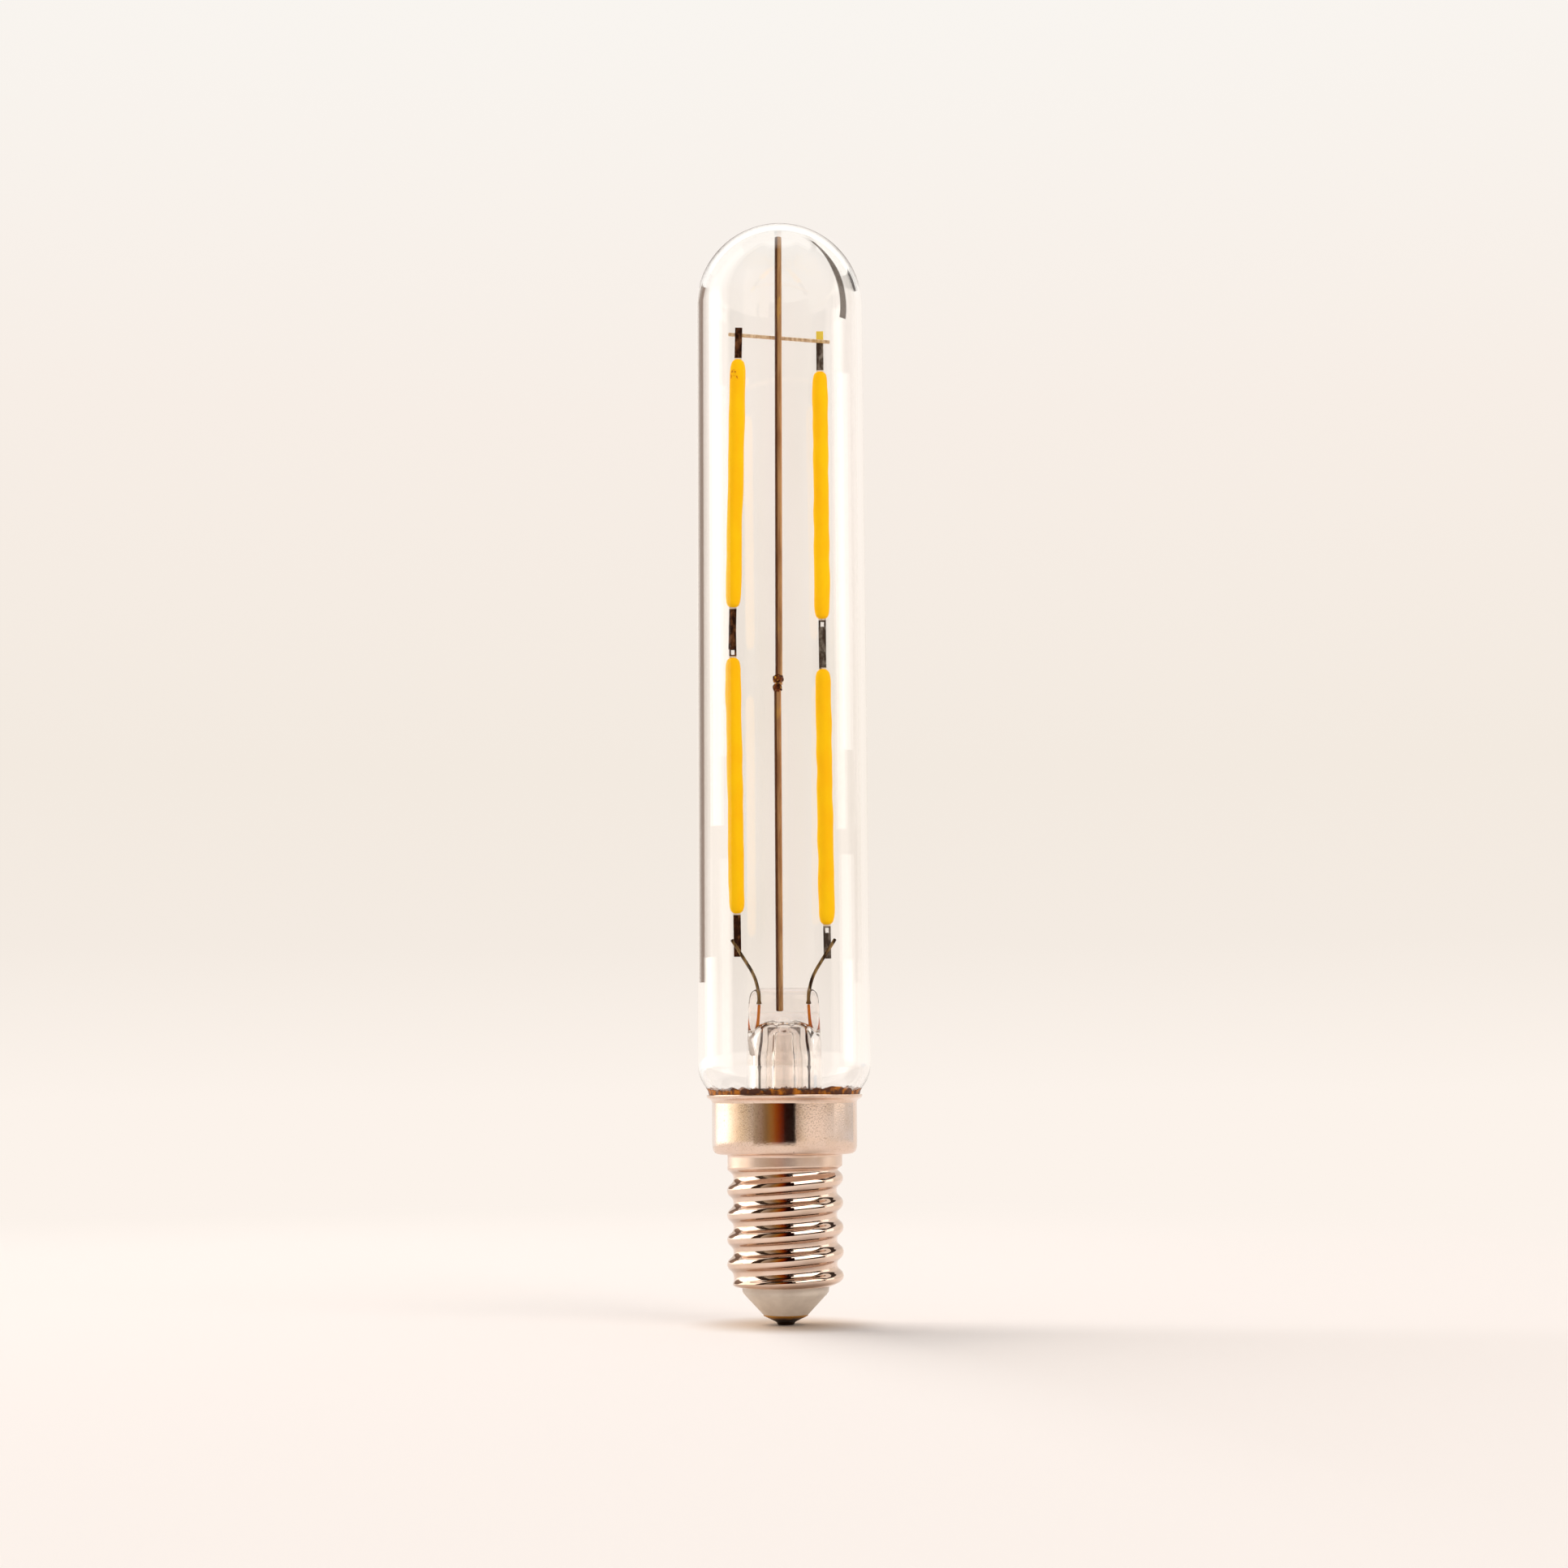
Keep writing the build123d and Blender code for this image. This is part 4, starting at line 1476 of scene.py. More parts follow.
@dataclass
class FilamentString:
    """One side's string: two coated strips, each with two tabs.

    Args:
        side: "left" or "right".
        tarnish: How its tabs look.
        slot: The record's slot for the tabs; not used.
        marked: Which tab of each strip has the window, "upper" or "lower".
        seed: Seed of the upper strip's unevenness.
        plain: Strip whose tabs have no window and whose coat is burnt near its top.
    """

    side: str
    tarnish: Tarnish
    slot: str
    marked: str
    seed: int
    plain: str = "upper_left_filament"
    coat_radius: float = 0.95 * MM
    taper: float = 1.6 * MM
    tip_share: float = 0.6
    burn_drop: float = 1.9 * MM
    tab_width: float = 0.88 * MM
    tab_thickness: float = 0.2 * MM
    tab_corner: float = 0.05 * MM
    window: tuple[float, float] = (0.42 * MM, 0.6 * MM)
    window_inset: float = 0.55 * MM
    lump: float = 0.03
    lump_length: float = 6 * MM
    sway_length: float = 9 * MM
    bare_end: float = 0.4 * MM
    gilt_rise: float = 0.45 * MM
    seed_step: int = 7
    rows: int = 150
    sides: int = 40

    def metal(self, name: str, coat_end: float, inward: int) -> TabMetal:
        """Give a tab its finish: bare next to the coat, and gilt above the crossbar where it isn't burnt.

        Args:
            name: The tab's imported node.
            coat_end: Height at which the coat ends.
            inward: 1 where the coat is above the tab, -1 where it is below.

        Returns:
            The finish.
        """
        above_lamp = 1.0
        gilt_from = ends("crossbar")[0] + self.gilt_rise if self.tarnish is Tarnish.BARE else above_lamp
        end = coat_end - inward * self.bare_end
        return TabMetal(f"{name}_metal", self.tarnish, gilt_from, (min(end, coat_end), max(end, coat_end)))

    def coat(self, name: str, axis: np.ndarray, seed: int) -> None:
        """Build a coated strip: a rod with ogive ends and slightly uneven sides.

        Its radius is r (s + (1-s) sqrt(1 - (1-q)^2)), q running from 0 to 1 over the taper.

        Args:
            name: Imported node.
            axis: Unit vector along the strip, upwards.
            seed: Seed of the unevenness.
        """
        low, high, _ = ends(name)
        half, centre = (high - low) / 2 / axis[2], middle(name)
        spots = half * np.sin(np.linspace(-math.pi / 2, math.pi / 2, self.rows))
        q = np.clip((half - np.abs(spots)) / self.taper, 0.0, 1.0)
        shape = self.tip_share + (1 - self.tip_share) * np.sqrt(1 - (1 - q) ** 2)
        path = centre + spots[:, None] * axis
        lump = Ripple(self.lump_length, seed).at(path)
        sway = Ripple(self.sway_length, seed + 1).at(path)
        path[:, 0] += self.lump * self.coat_radius * sway * q
        scale = self.coat_radius * shape * (1 + self.lump * lump * q)
        patch = carry(path, circle(self.sides), scale, 0.35, self.coat_radius * self.tip_share)
        burnt = PhosphorCoat(burn=(centre[0], high - self.burn_drop))
        piece(name, [patch], burnt if name == self.plain else PhosphorCoat())

    def tab(self, name: str, axis: np.ndarray, inward: int, holed: bool) -> None:
        """Build a tab: a flat strip, or a plate round a window.

        The plate is a ring of four rows, outer and inner edge at front and back, on rays from the
        window's middle: a ray meets a box at the smaller of its two crossings.

        Args:
            name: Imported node.
            axis: Unit vector along the strip, upwards.
            inward: 1 where the coat is above the tab, -1 where it is below.
            holed: Whether the tab has the window.
        """
        low, high, _ = ends(name)
        half, centre = (high - low) / 2 / axis[2], middle(name)
        coat = ends(name.rsplit("_", 2)[0])
        coat_end = coat[0] if inward > 0 else coat[1]
        metal = self.metal(name, coat_end, inward)
        if not holed:
            path = centre + np.linspace(-half, half, 16)[:, None] * axis
            section = strip(self.tab_width, self.tab_thickness, self.tab_corner)
            patch = carry(path, section, np.ones(len(path)), 0.2, self.tab_thickness / 2)
            piece(name, [patch], metal)
            return
        hole = (coat_end - inward * (self.window_inset + self.window[1] / 2) - centre[2]) / axis[2]
        box = np.array((self.tab_width / 2, half - hole, half + hole))
        gap = np.array((self.window[0] / 2, self.window[1] / 2, self.window[1] / 2))
        square = [math.atan2(z, x) for b in (box, gap) for x in (b[0], -b[0]) for z in (b[1], -b[2])]
        angle = np.unique(np.concatenate((square, np.linspace(-math.pi, math.pi, 48, endpoint=False))))
        cos, sin = np.cos(angle), np.sin(angle)
        ring = []
        for edge in (box, gap):
            run = np.where(sin > 0, edge[1], edge[2])
            with np.errstate(divide="ignore"):
                ring.append(np.minimum(edge[0] / np.abs(cos), run / np.abs(sin)))
        across = np.cross(DEPTH, axis)
        normal = np.cross(axis, across)
        rows = []
        for reach, front in ((ring[0], 1), (ring[0], -1), (ring[1], -1), (ring[1], 1)):
            flat = (reach * cos)[:, None] * across + (hole + reach * sin)[:, None] * axis
            rows.append(centre + flat + front * self.tab_thickness / 2 * normal)
        piece(name, [skin(np.stack(rows))], metal)

    def build(self) -> None:
        """Build both strips and their tabs."""
        for number, level in enumerate(("upper", "lower")):
            name = f"{level}_{self.side}_filament"
            axis = middle(f"{name}_upper_tab") - middle(f"{name}_lower_tab")
            axis /= np.linalg.norm(axis)
            self.coat(name, axis, self.seed + self.seed_step * number)
            for end, inward in (("upper", -1), ("lower", 1)):
                holed = end == self.marked and name != self.plain
                self.tab(f"{name}_{end}_tab", axis, inward, holed)


@dataclass
class ScrewCap:
    """The cap: rolled shell, insulator, contact and the cement that holds the glass."""

    pitch: float = 2.822 * MM
    crest_at: float = 2.678 * MM
    crest_radius: float = 6.8 * MM
    root_radius: float = 6.03 * MM
    soft: float = 0.3 * MM
    curl_height: float = 1.3 * MM
    curl_in: float = 1.1 * MM
    lip_radius: float = 5.1 * MM
    bore: float = 5.73 * MM
    thread_top: float = 18.2 * MM
    run_out: tuple[float, float] = (17.7 * MM, 18.3 * MM)
    thread_end: float = 18.35 * MM
    neck_foot: float = 18.4 * MM
    neck_radius: float = 6.7 * MM
    skirt_bottom: float = 19.6 * MM
    skirt_radius: float = 8.5 * MM
    skirt_draft: float = 0.07 * MM
    skirt_draft_height: float = 1.4 * MM
    flare_bottom: float = 25.75 * MM
    flare_top: float = 26.2 * MM
    outer_cuts: tuple[float, ...] = (0.3 * MM, 0.95 * MM, 0.4 * MM, 0.25 * MM, 0.2 * MM, 0.12 * MM)
    inner_cuts: tuple[float, ...] = (0.2 * MM, 0.25 * MM, 1.25 * MM, 0.2 * MM, 0.2 * MM, 0.0, 0.0, 0.0)
    sheet: float = 0.3 * MM
    cone_top: float = 3.75 * MM
    cone_foot: float = 2.6 * MM
    collar_gap: float = 0.05 * MM
    insulator_cuts: tuple[float, ...] = (0.12 * MM, 0.35 * MM, 0.0, 0.1 * MM, 0.15 * MM)
    rivet_hole: float = 0.85 * MM
    rivet_radius: float = 0.8 * MM
    button_radius: float = 0.95 * MM
    button_edge: tuple[float, float] = (1.07 * MM, 0.32 * MM)
    dish_top: float = 1.15 * MM
    dish_edge: float = 0.1 * MM
    contact_cuts: tuple[float, ...] = (0.15 * MM, 0.15 * MM, 0.05 * MM, 0.03 * MM, 0.05 * MM, 0.1 * MM)
    cement_fill: float = 0.3 * MM
    cement_lift: float = 0.6 * MM
    cement_gap: float = 0.01 * MM
    glass_gap: float = 0.015 * MM
    lip_gap: float = 0.03 * MM
    coarse: float = 0.3
    fine: float = 0.07
    brace: float = 0.05 * MM
    rows: int = 270
    cols: int = 240
    low: float = field(init=False)
    high: float = field(init=False)
    rim: float = field(init=False)

    def __post_init__(self) -> None:
        """Read the shell's ends and rim radius from the frame."""
        self.low, self.high, self.rim = ends("screw_shell")

    def thread_grid(self) -> np.ndarray:
        """Build the threaded part up to the neck.

        The profile is two arcs of radius R = (h^2 + d^2) / 4d for half a pitch h and a depth d. At s
        from the crest it is crest - R + sqrt(R^2 - s^2), and past a quarter pitch the root's arc is
        the same curve turned over. The mean of it over a short span softens the turn between the two
        arcs. The crest climbs by a pitch per turn to the right. A quarter ellipse draws the lower end
        in to the curl, and a smooth step raises the upper end to the neck.

        Returns:
            Grid of points.
        """
        height = np.linspace(self.low, self.thread_end, self.rows)
        span = np.linspace(-0.5, 0.5, 9)[:, None, None] * self.soft
        turns = (height[:, None] + span - self.crest_at) / self.pitch - around(self.cols) / TURN
        off = np.abs(turns - np.round(turns)) * self.pitch
        depth, half = self.crest_radius - self.root_radius, self.pitch / 2
        curve = (half**2 + depth**2) / (4 * depth)
        near = np.minimum(off, half - off)
        drop = curve - np.sqrt(curve**2 - near**2)
        ridge = np.where(off < half / 2, depth - drop, drop).mean(axis=0)
        neck = smooth(height, *self.run_out)[:, None]
        radius = self.root_radius + ridge * (1 - neck) + (self.neck_radius - self.root_radius) * neck
        q = np.clip((height - self.low) / self.curl_height, 0.0, 1.0)[:, None]
        radius -= self.curl_in * (1 - np.sqrt(1 - (1 - q) ** 2))
        return turn(radius, height, self.cols)

    def shell(self) -> None:
        """Build the shell: thread, neck, skirt and flared rim outside, and a plain bore inside."""
        upper = rounded(
            (
                (self.neck_radius, self.neck_foot),
                (self.neck_radius, self.skirt_bottom),
                (self.skirt_radius - self.skirt_draft, self.skirt_bottom),
                (self.skirt_radius, self.skirt_bottom + self.skirt_draft_height),
                (self.skirt_radius, self.flare_bottom),
                (self.rim, self.flare_top),
                (self.rim, self.high),
                (self.rim - self.sheet, self.high),
            ),
            self.outer_cuts,
            10,
        )
        inside = rounded(
            (
                (self.rim - self.sheet, self.high),
                (self.rim - self.sheet, self.flare_top),
                (self.skirt_radius - self.sheet, self.flare_bottom),
                (self.skirt_radius - self.sheet, self.skirt_bottom + self.sheet),
                (self.neck_radius - self.sheet, self.skirt_bottom + self.sheet),
                (self.neck_radius - self.sheet, self.thread_top + self.sheet),
                (self.bore, self.thread_top + self.sheet),
                (self.bore, self.low + self.sheet),
                (self.lip_radius, self.low + self.sheet),
                (self.lip_radius, self.low),
            ),
            self.inner_cuts,
            3,
        )
        line = np.vstack((braced(upper, self.brace), braced(inside, 10 * self.brace)[1:]))
        grid = np.vstack((self.thread_grid(), turn(*line.T, self.cols)))
        piece("screw_shell", [skin(grid)], NickelPlate(), 50.0)

    def insulator(self) -> None:
        """Build the insulator: a turned cone with a rounded collar, flanged inside the shell."""
        low, high, flange = ends("insulator")
        collar, seat = self.lip_radius - self.collar_gap, self.low + self.sheet
        line = rounded(
            (
                (self.rivet_hole, low),
                (self.cone_foot, low),
                (collar, self.cone_top),
                (collar, seat),
                (flange, seat),
                (flange, high),
                (self.rivet_hole, high),
            ),
            self.insulator_cuts,
        )
        piece("insulator", [lathe(braced(line, self.brace), 160)], PaleMoulding())

    def contact(self) -> None:
        """Build the contact: a dished disc with a flat button, and the rivet through the insulator."""
        low, high, dish = ends("centre_contact")
        line = rounded(
            (
                (0.0, low),
                (self.button_radius, low),
                self.button_edge,
                (dish, self.dish_top - self.dish_edge),
                (dish, self.dish_top),
                (self.rivet_radius, self.dish_top),
                (self.rivet_radius, high),
                (0.0, high),
            ),
            self.contact_cuts,
        )
        piece("centre_contact", [lathe(braced(line, self.brace), 120)], ContactBrass())

    def cement(self, glass: GlassTube) -> None:
        """Build the cement: a ring between glass and skirt whose ragged lip creeps up the glass.

        The lip's height is the plain fill plus lift (0.5 + a f + b g), f and g being a coarse
        and a fine unevenness round the axis, and it lies on the glass's drawn-in arc.

        Args:
            glass: The tube that the cement grips.
        """
        ring = turn(np.ones(1), np.zeros(1), self.cols)[0]
        ragged = 0.5 + self.coarse * Ripple(0.5, 3).at(ring) + self.fine * Ripple(0.14, 4).at(ring)
        lift = self.cement_lift * np.clip(ragged, 0.05, 1.2)
        neck = glass.neck_arc(-self.glass_gap, glass.seal_radius + self.glass_gap)[::-1]
        low = ends("cement_ring")[0]
        wall, lip = (r - self.sheet - self.cement_gap for r in (self.skirt_radius, self.rim))
        top = self.high + self.cement_fill + lift
        creep = glass.low + (top - glass.low) * np.linspace(0.0, 1.0, 14)[:, None]
        on_glass = np.interp(creep, neck[:, 1], neck[:, 0])
        edge = on_glass[-1] + self.lip_gap
        slope = np.stack([lip + (edge - lip) * s for s in (0.9, 0.65, 0.3)])
        rise = np.stack([self.high + (top - self.high) * s for s in (0.97, 0.85, 0.55)])
        plain = np.array(
            (
                (lip, self.high),
                (lip, self.flare_top),
                (wall, self.flare_bottom),
                (wall, low),
                (on_glass[0, 0], low),
            )
        )
        ones = np.ones(self.cols)
        radius = np.vstack((on_glass, slope, plain[:, :1] * ones))
        height = np.vstack((creep, rise, plain[:, 1:] * ones))
        piece("cement_ring", [skin(turn(radius, height, self.cols))], CEMENT)

    def build(self, glass: GlassTube) -> None:
        """Build the whole cap.

        Args:
            glass: The tube that the cap is cemented to.
        """
        self.shell()
        self.insulator()
        self.contact()
        self.cement(glass)


@dataclass
class Driver:
    """The driver hidden in the cap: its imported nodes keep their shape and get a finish."""

    finishes: tuple[tuple[str, Finish], ...] = (
        ("driver_board", BOARD),
        ("bridge_rectifier", CHIP_MOULD),
        ("current_regulator", CHIP_MOULD),
        ("sense_resistor", CHIP_CERAMIC),
        ("fuse_resistor", CHIP_CERAMIC),
        ("contact_wire", TAIL_WIRE),
        ("shell_wire", TAIL_WIRE),
    )

    def dress(self) -> None:
        """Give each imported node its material."""
        for name, finish in self.finishes:
            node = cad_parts[name]
            node.data.materials.clear()
            node.data.materials.append(material(finish))
            LOG.info("%s: packed shape in %s", name, finish.name)


# Stage


def staged(name: str, points: np.ndarray, faces: np.ndarray, finish: Finish) -> bpy.types.Object:
    """Add a mesh that belongs to the stage.

    Args:
        name: Its name.
        points: Vertex places, one row each.
        faces: Vertex numbers of its faces.
        finish: What it is made of.

    Returns:
        The object.
    """
    mesh = bpy.data.meshes.new(name)
    mesh.from_pydata(points.tolist(), [], faces.tolist())
    mesh.materials.append(material(finish))
    made = bpy.data.objects.new(name, mesh)
    bpy.context.scene.collection.objects.link(made)
    return made


def stand(bearing: float, distance: float, height: float) -> Vector:
    """Find a place round the lamp.

    Args:
        bearing: Bearing from straight behind the lamp, in degrees, right positive.
        distance: Distance from the axis.
        height: Height above the floor.

    Returns:
        The place.
    """
    angle = math.radians(bearing)
    return Vector((math.sin(angle) * distance, math.cos(angle) * distance, height))


@dataclass(frozen=True)
class Panel:
    """Something upright that stands round the lamp.

    Args:
        name: Its name.
        bearing: Bearing of its middle from straight behind the lamp, in degrees, right positive.
        spread: Width as seen from the lamp, in degrees.
        low: Height of its lower edge.
        high: Height of its upper edge.
    """

    name: str
    bearing: float
    spread: float
    low: float
    high: float


@dataclass(frozen=True)
class Window(Panel):
    """A light that is turned to face the lamp and that nothing mirrors.

    Args:
        radiance: Brightness, where 1 is white.
        colour: Colour of its light.
        distance: Distance from the axis.
    """

    radiance: float
    colour: Colour = tone(255, 247, 238)
    distance: float = 1.0

    def build(self) -> None:
        """Add the light. Its power is radiance times pi times its area."""
        lamp = bpy.data.lights.new(self.name, "AREA")
        lamp.shape = "RECTANGLE"
        lamp.size = 2 * self.distance * math.tan(math.radians(self.spread) / 2)
        lamp.size_y = self.high - self.low
        lamp.energy = self.radiance * math.pi * lamp.size * lamp.size_y
        lamp.color = self.colour[:3]
        panel = bpy.data.objects.new(self.name, lamp)
        panel.location = stand(self.bearing, self.distance, (self.low + self.high) / 2)
        panel.rotation_euler = (-stand(self.bearing, 1.0, 0.0)).to_track_quat("-Z", "Y").to_euler()
        panel.visible_camera = panel.visible_glossy = panel.visible_transmission = False
        bpy.context.scene.collection.objects.link(panel)


class Shown(Enum):
    """What shows a card: whatever mirrors it, or satin metal alone."""

    MIRRORED = 0
    SATIN = 1


@dataclass(frozen=True)
class CardGlow(Finish):
    """A card's glow, tinted across its width.

    Args:
        tones: Colours across the card.
        strength: Brightness of the colours.
        shown: Which surfaces show it.
    """

    name: str
    tones: Stops
    strength: float
    shown: Shown

    def shader(self, graph: Graph) -> Value:
        """Tint the card, and leave it clear to the surfaces that don't show it.

        Args:
            graph: Nodes of the material.

        Returns:
            The shader.
        """
        across = graph.add("ShaderNodeAttribute", {"attribute_name": "across"}, {}, "Fac")
        sockets = {"Color": graph.ramp(across, self.tones), "Strength": self.strength}
        glow = graph.add("ShaderNodeEmission", {}, sockets)
        mirrored, singular = graph.outputs("ShaderNodeLightPath", "Glossy Depth", "Is Singular Ray")
        share = mirrored.minimum(1.0)
        if self.shown is Shown.SATIN:
            share = share * (1 - singular)
        return graph.blend(share, graph.add("ShaderNodeBsdfTransparent", {}, {}), glow)


@dataclass(frozen=True)
class Card(Panel):
    """A card that shows only in the lamp itself.

    Args:
        tones: Colours across it, by rising bearing.
        strength: Brightness of the colours.
        shown: Which surfaces show it.
        distance: Distance of its lower edge from the axis.
        lean: Distance of its upper edge as a share of the lower edge's.
    """

    tones: Stops
    strength: float = 1.0
    shown: Shown = Shown.MIRRORED
    distance: float = 0.26
    lean: float = 1.0

    def build(self) -> None:
        """Bend the card round the axis: (D sin b, D cos b, z), D going from foot to head with z."""
        half = self.spread / 2
        angle = np.radians(np.linspace(self.bearing - half, self.bearing + half, 48))
        foot = np.stack((np.sin(angle), np.cos(angle), np.zeros_like(angle)), axis=-1) * self.distance
        points = np.vstack((foot + UP * self.low, foot * self.lean + UP * self.high))
        number = np.arange(len(foot) - 1)
        faces = np.stack((number, number + 1, number + 1 + len(foot), number + len(foot)), axis=-1)
        card = staged(self.name, points, faces, CardGlow(self.name, self.tones, self.strength, self.shown))
        across = card.data.attributes.new("across", "FLOAT", "POINT")
        across.data.foreach_set("value", np.tile(np.linspace(0.0, 1.0, len(foot)), 2))
        card.data.materials[0].cycles.emission_sampling = "NONE"
        card.visible_camera = card.visible_diffuse = card.visible_shadow = False


@dataclass(frozen=True)
class FloorPaper(Finish):
    """Lit paper near the lamp that turns into the backdrop's glow far away.

    Args:
        paper: Tone of the paper.
        haze: Tone of the glow.
        painted_shadow: Tone of the shadow painted on the paper under the lamp.
        painted_shadow_edges: Distances from the axis between which the painted shadow ends.
        fade: Distances from the axis between which the glow begins.
    """

    name: str = "floor_paper"
    paper: Colour = tone(250, 246, 246)
    haze: Colour = tone(252, 243, 235)
    painted_shadow: Colour = tone(212, 196, 182)
    painted_shadow_edges: tuple[float, float] = (3 * MM, 13 * MM)
    fade: tuple[float, float] = (60 * MM, 320 * MM)

    def shader(self, graph: Graph) -> Value:
        """Paint a shadow on the paper round the lamp's foot, and blend it into the glow by distance.

        Args:
            graph: Nodes of the material.

        Returns:
            The shader.
        """
        off = norm(*graph.axes()[:2])
        # Painted shadow: the paper is darker round the lamp's foot.
        colour = graph.mix(off.step(*self.painted_shadow_edges), self.painted_shadow, self.paper)
        paper = graph.surface({"Base Color": colour, "Roughness": 0.9, "Specular IOR Level": 0.1})
        glow = graph.add("ShaderNodeEmission", {}, {"Color": self.haze})
        return graph.blend(off.step(*self.fade), paper, glow)


WHITE = stops((0.0, 255, 250, 244), (1.0, 255, 250, 244))
GREY = stops((0.0, 110, 98, 90), (1.0, 110, 98, 90))


@dataclass
class Studio:
    """The pale sweep that the lamp stands on, the windows round it and the cards that it mirrors."""

    wall: Stops = stops(
        (0.0, 252, 243, 235), (0.06, 244, 235, 226), (0.13, 243, 234, 224),
        (0.27, 247, 238, 230), (0.42, 249, 245, 240),
    )
    fill: float = 0.48
    through_glass: float = 1.12
    floor_half: float = 6.0
    bounces: int = 32
    windows: tuple[Window, ...] = (
        Window("left_sky", -48.0, 64.0, 350 * MM, 1500 * MM, 4.7),
        Window("front_lamp", 132.0, 40.0, 330 * MM, 750 * MM, 4.5),
    )
    cards: tuple[Card, ...] = (
        Card("left_window", -78.0, 23.0, 188 * MM, 620 * MM, WHITE, 2.6, distance=1.2),
        Card(
            "left_low_pane", -59.0, 78.0, 0.0, 34 * MM,
            stops(
                (0.0, 198, 188, 168), (0.14, 224, 216, 200), (0.28, 255, 250, 240),
                (0.6, 255, 250, 240), (0.78, 188, 186, 184), (1.0, 176, 178, 178),
            ),
            2.2, distance=0.45,
        ),
        Card(
            "left_pane", -66.0, 40.0, 34 * MM, 67 * MM,
            stops((0.0, 100, 96, 90), (0.4, 255, 250, 240), (0.8, 255, 250, 240), (1.0, 150, 146, 140)),
            2.0, distance=0.45,
        ),
        Card(
            "left_reveal", -114.0, 32.0, 0.0, 28 * MM,
            stops((0.0, 173, 161, 146), (0.4, 211, 199, 174), (1.0, 255, 243, 216)),
            1.2, distance=0.58,
        ),
        Card("high_window", -78.0, 26.0, 540 * MM, 2200 * MM, WHITE, 1.6, distance=1.2),
        Card("right_window", 79.0, 22.0, 234 * MM, 470 * MM, WHITE, 2.0, distance=1.2),
        Card("right_low_pane", 82.0, 25.0, 30 * MM, 170 * MM, WHITE, 1.8, distance=1.2),
        Card(
            "right_horizon", 101.0, 122.0, 0.0, 28 * MM,
            stops(
                (0.0, 218, 220, 222), (0.34, 222, 221, 220), (0.52, 237, 232, 226), (0.7, 255, 244, 233),
                (0.83, 255, 244, 233), (0.91, 235, 226, 211), (1.0, 169, 151, 135),
            ),
            1.1, distance=0.58,
        ),
        Card("dark_rail", 0.0, 32.0, 315 * MM, 420 * MM, GREY, distance=0.5),
        Card("ceiling_light", 0.0, 150.0, 425 * MM, 700 * MM, WHITE, 1.2, distance=0.5, lean=0.7),
        Card("left_glow", -80.0, 56.0, 45 * MM, 460 * MM, WHITE, 2.7, Shown.SATIN, 0.5),
        Card("key_light", 133.5, 73.0, 190 * MM, 900 * MM, WHITE, 2.7, Shown.SATIN, 0.5),
        Card("right_dim", 66.0, 64.0, 400 * MM, 1500 * MM, GREY, 0.4, distance=0.7),
        Card(
            "left_jamb", -41.0, 36.0, 80 * MM, 520 * MM,
            stops((0.0, 176, 156, 142), (1.0, 134, 114, 102)), distance=0.9,
        ),
        Card(
            "front_room", -163.5, 67.0, 0.0, 330 * MM,
            stops(
                (0.0, 16, 4, 2), (0.24, 31, 3, 1), (0.34, 114, 35, 0), (0.45, 146, 72, 2),
                (0.57, 152, 110, 53), (0.69, 135, 109, 73), (0.81, 156, 135, 117),
                (0.94, 169, 155, 134), (1.0, 190, 177, 158),
            ),
        ),
        Card(
            "dim_room", 176.5, 161.0, 45 * MM, 4500 * MM,
            stops((0.0, 70, 56, 46), (0.5, 26, 17, 12), (1.0, 60, 46, 36)), distance=1.8, lean=0.6,
        ),
    )

    def floor(self) -> None:
        """Lay the floor, a square sheet."""
        corners = np.array(((-1, -1, 0), (1, -1, 0), (1, 1, 0), (-1, 1, 0))) * self.floor_half
        staged("floor", corners, np.arange(4)[None], FloorPaper())

    def sky(self) -> None:
        """Surround the scene: the wall's tones for what is seen, a softer fill for what is lit."""
        world = bpy.data.worlds.new("sweep")
        world.use_nodes = True
        bpy.context.scene.world = world
        graph = Graph(world.node_tree)
        ways = ("Is Camera Ray", "Is Glossy Ray", "Is Transmission Ray")
        camera, glossy, through = graph.outputs("ShaderNodeLightPath", *ways)
        seen = camera.maximum(glossy).maximum(through * self.through_glass)
        way = graph.add("ShaderNodeTexCoord", {}, {}, "Generated")
        rise = graph.add("ShaderNodeSeparateXYZ", {}, {0: way}, "Z")
        sockets = {"Color": graph.ramp(rise, self.wall), "Strength": seen.maximum(self.fill)}
        graph.close(graph.add("ShaderNodeBackground", {}, sockets), "ShaderNodeOutputWorld")

    def build(self) -> None:
        """Set the stage, with bounces enough for glass within glass."""
        bpy.context.scene.view_settings.view_transform = "Standard"
        paths = bpy.context.scene.cycles
        paths.max_bounces = paths.transmission_bounces = paths.glossy_bounces = self.bounces
        self.floor()
        self.sky()
        for panel in (*self.windows, *self.cards):
            panel.build()
            LOG.info("%s stands at bearing %g", panel.name, panel.bearing)


@dataclass
class PhotoCamera:
    """The camera at the photograph's place: low, close and tilted a little upwards."""

    back: float = 290 * MM
    height: float = 26.6 * MM
    tilt: float = 7.2
    roll: float = 0.38
    aside: float = -0.05 * MM
    lens: float = 56.27
    sensor: float = 36.0
    clip: tuple[float, float] = (1 * MM, 50.0)

    def build(self) -> None:
        """Add the camera and make it the scene's own."""
        data = bpy.data.cameras.new("camera")
        data.lens, data.sensor_width = self.lens, self.sensor
        data.clip_start, data.clip_end = self.clip
        camera = bpy.data.objects.new("camera", data)
        camera.location = (self.aside, -self.back, self.height)
        camera.rotation_euler = (math.radians(90 + self.tilt), math.radians(self.roll), 0.0)
        bpy.context.scene.collection.objects.link(camera)
        bpy.context.scene.camera = camera


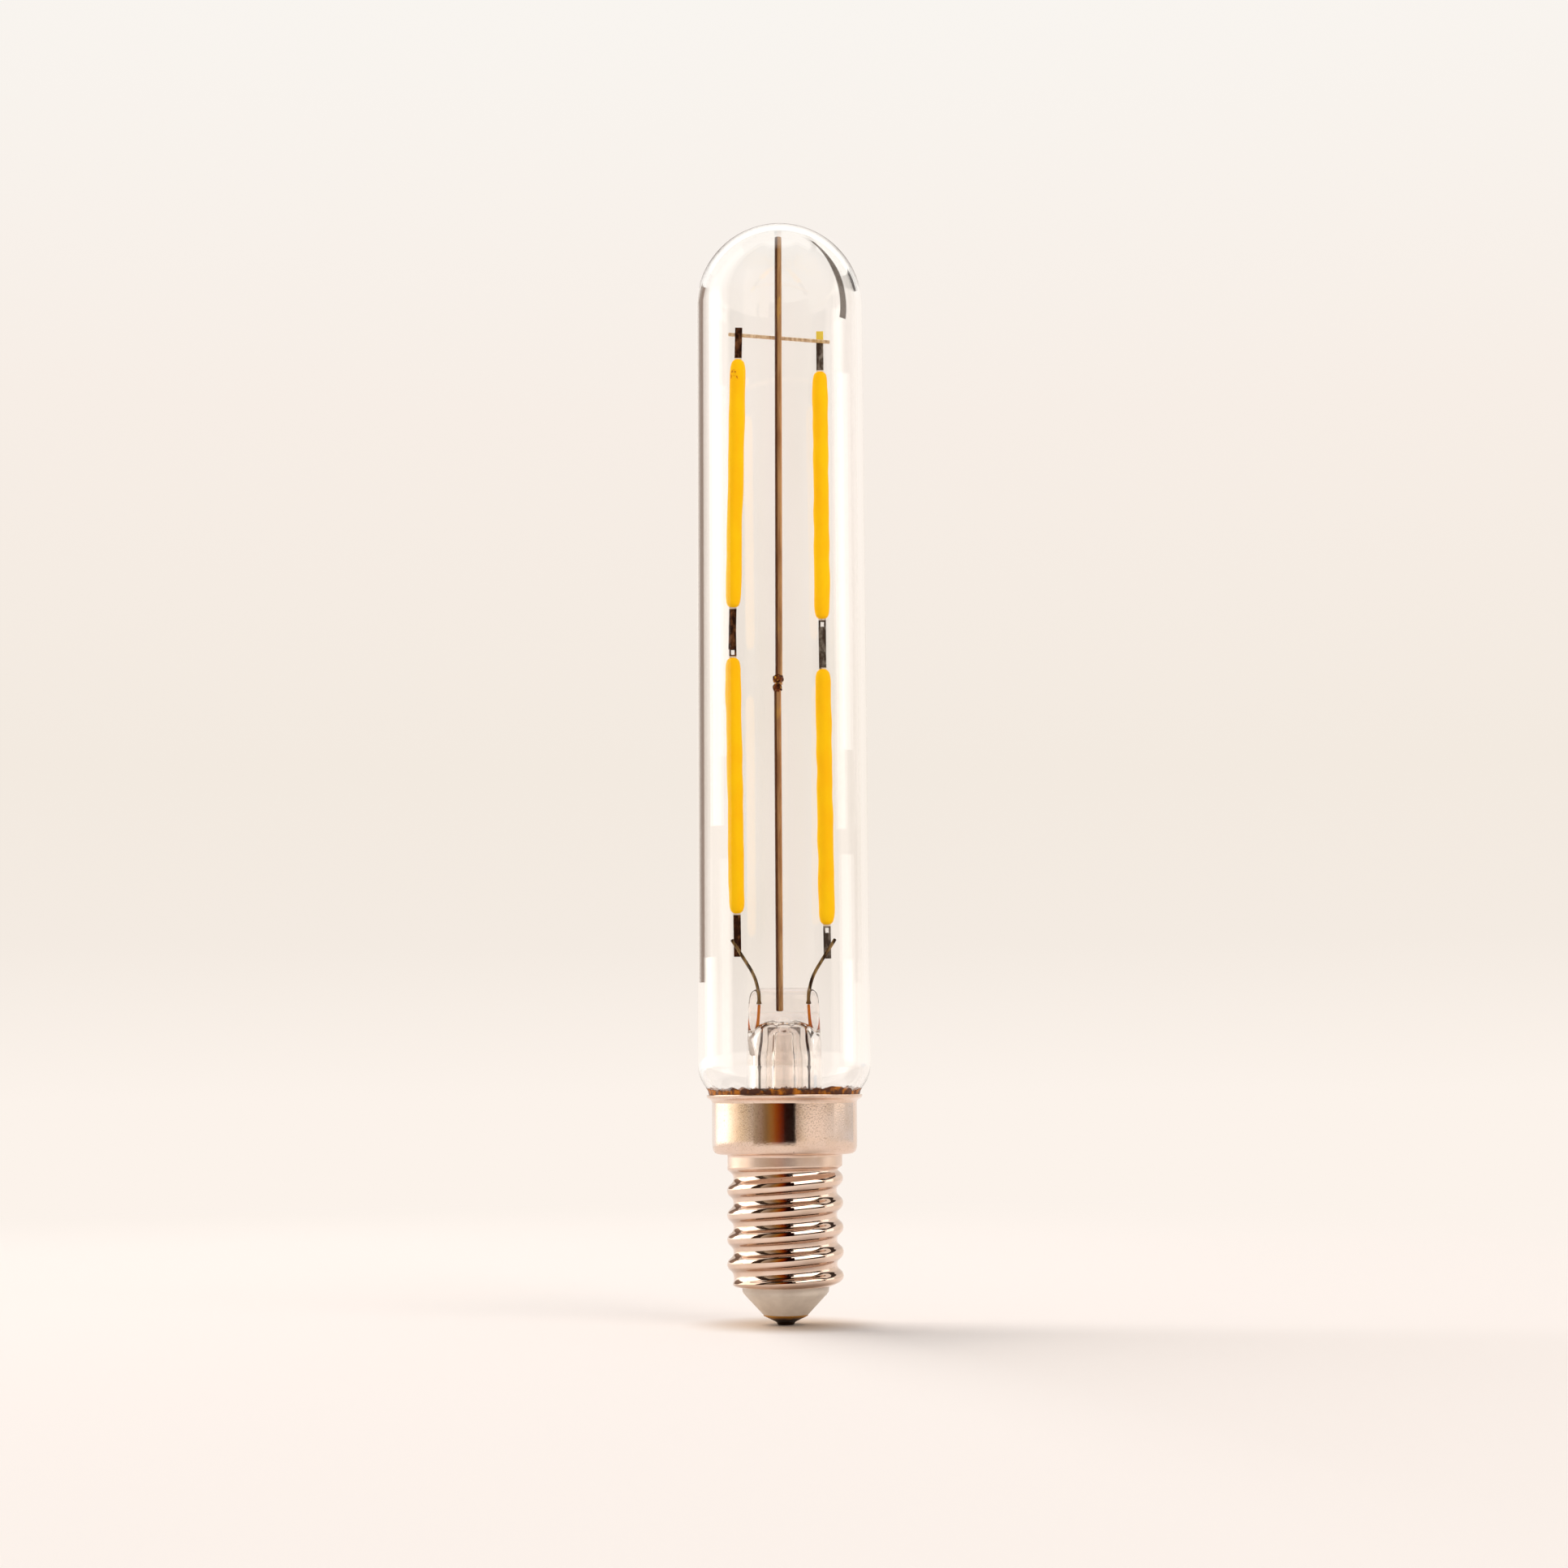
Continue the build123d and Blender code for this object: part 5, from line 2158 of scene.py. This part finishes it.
def main() -> None:
    """Build the lamp, its stage and its camera."""
    logging.basicConfig(level=logging.INFO, format="%(message)s")
    PhotoCamera().build()
    Studio().build()
    glass = GlassTube()
    glass.build()
    GlassStem().build()
    WireMount().build()
    FilamentString("left", Tarnish.BURNT, "tarnished_tab", "upper", 11).build()
    FilamentString("right", Tarnish.BARE, "bare_tab", "lower", 14).build()
    ScrewCap().build(glass)
    Driver().dress()


if __name__ == "__main__":
    main()
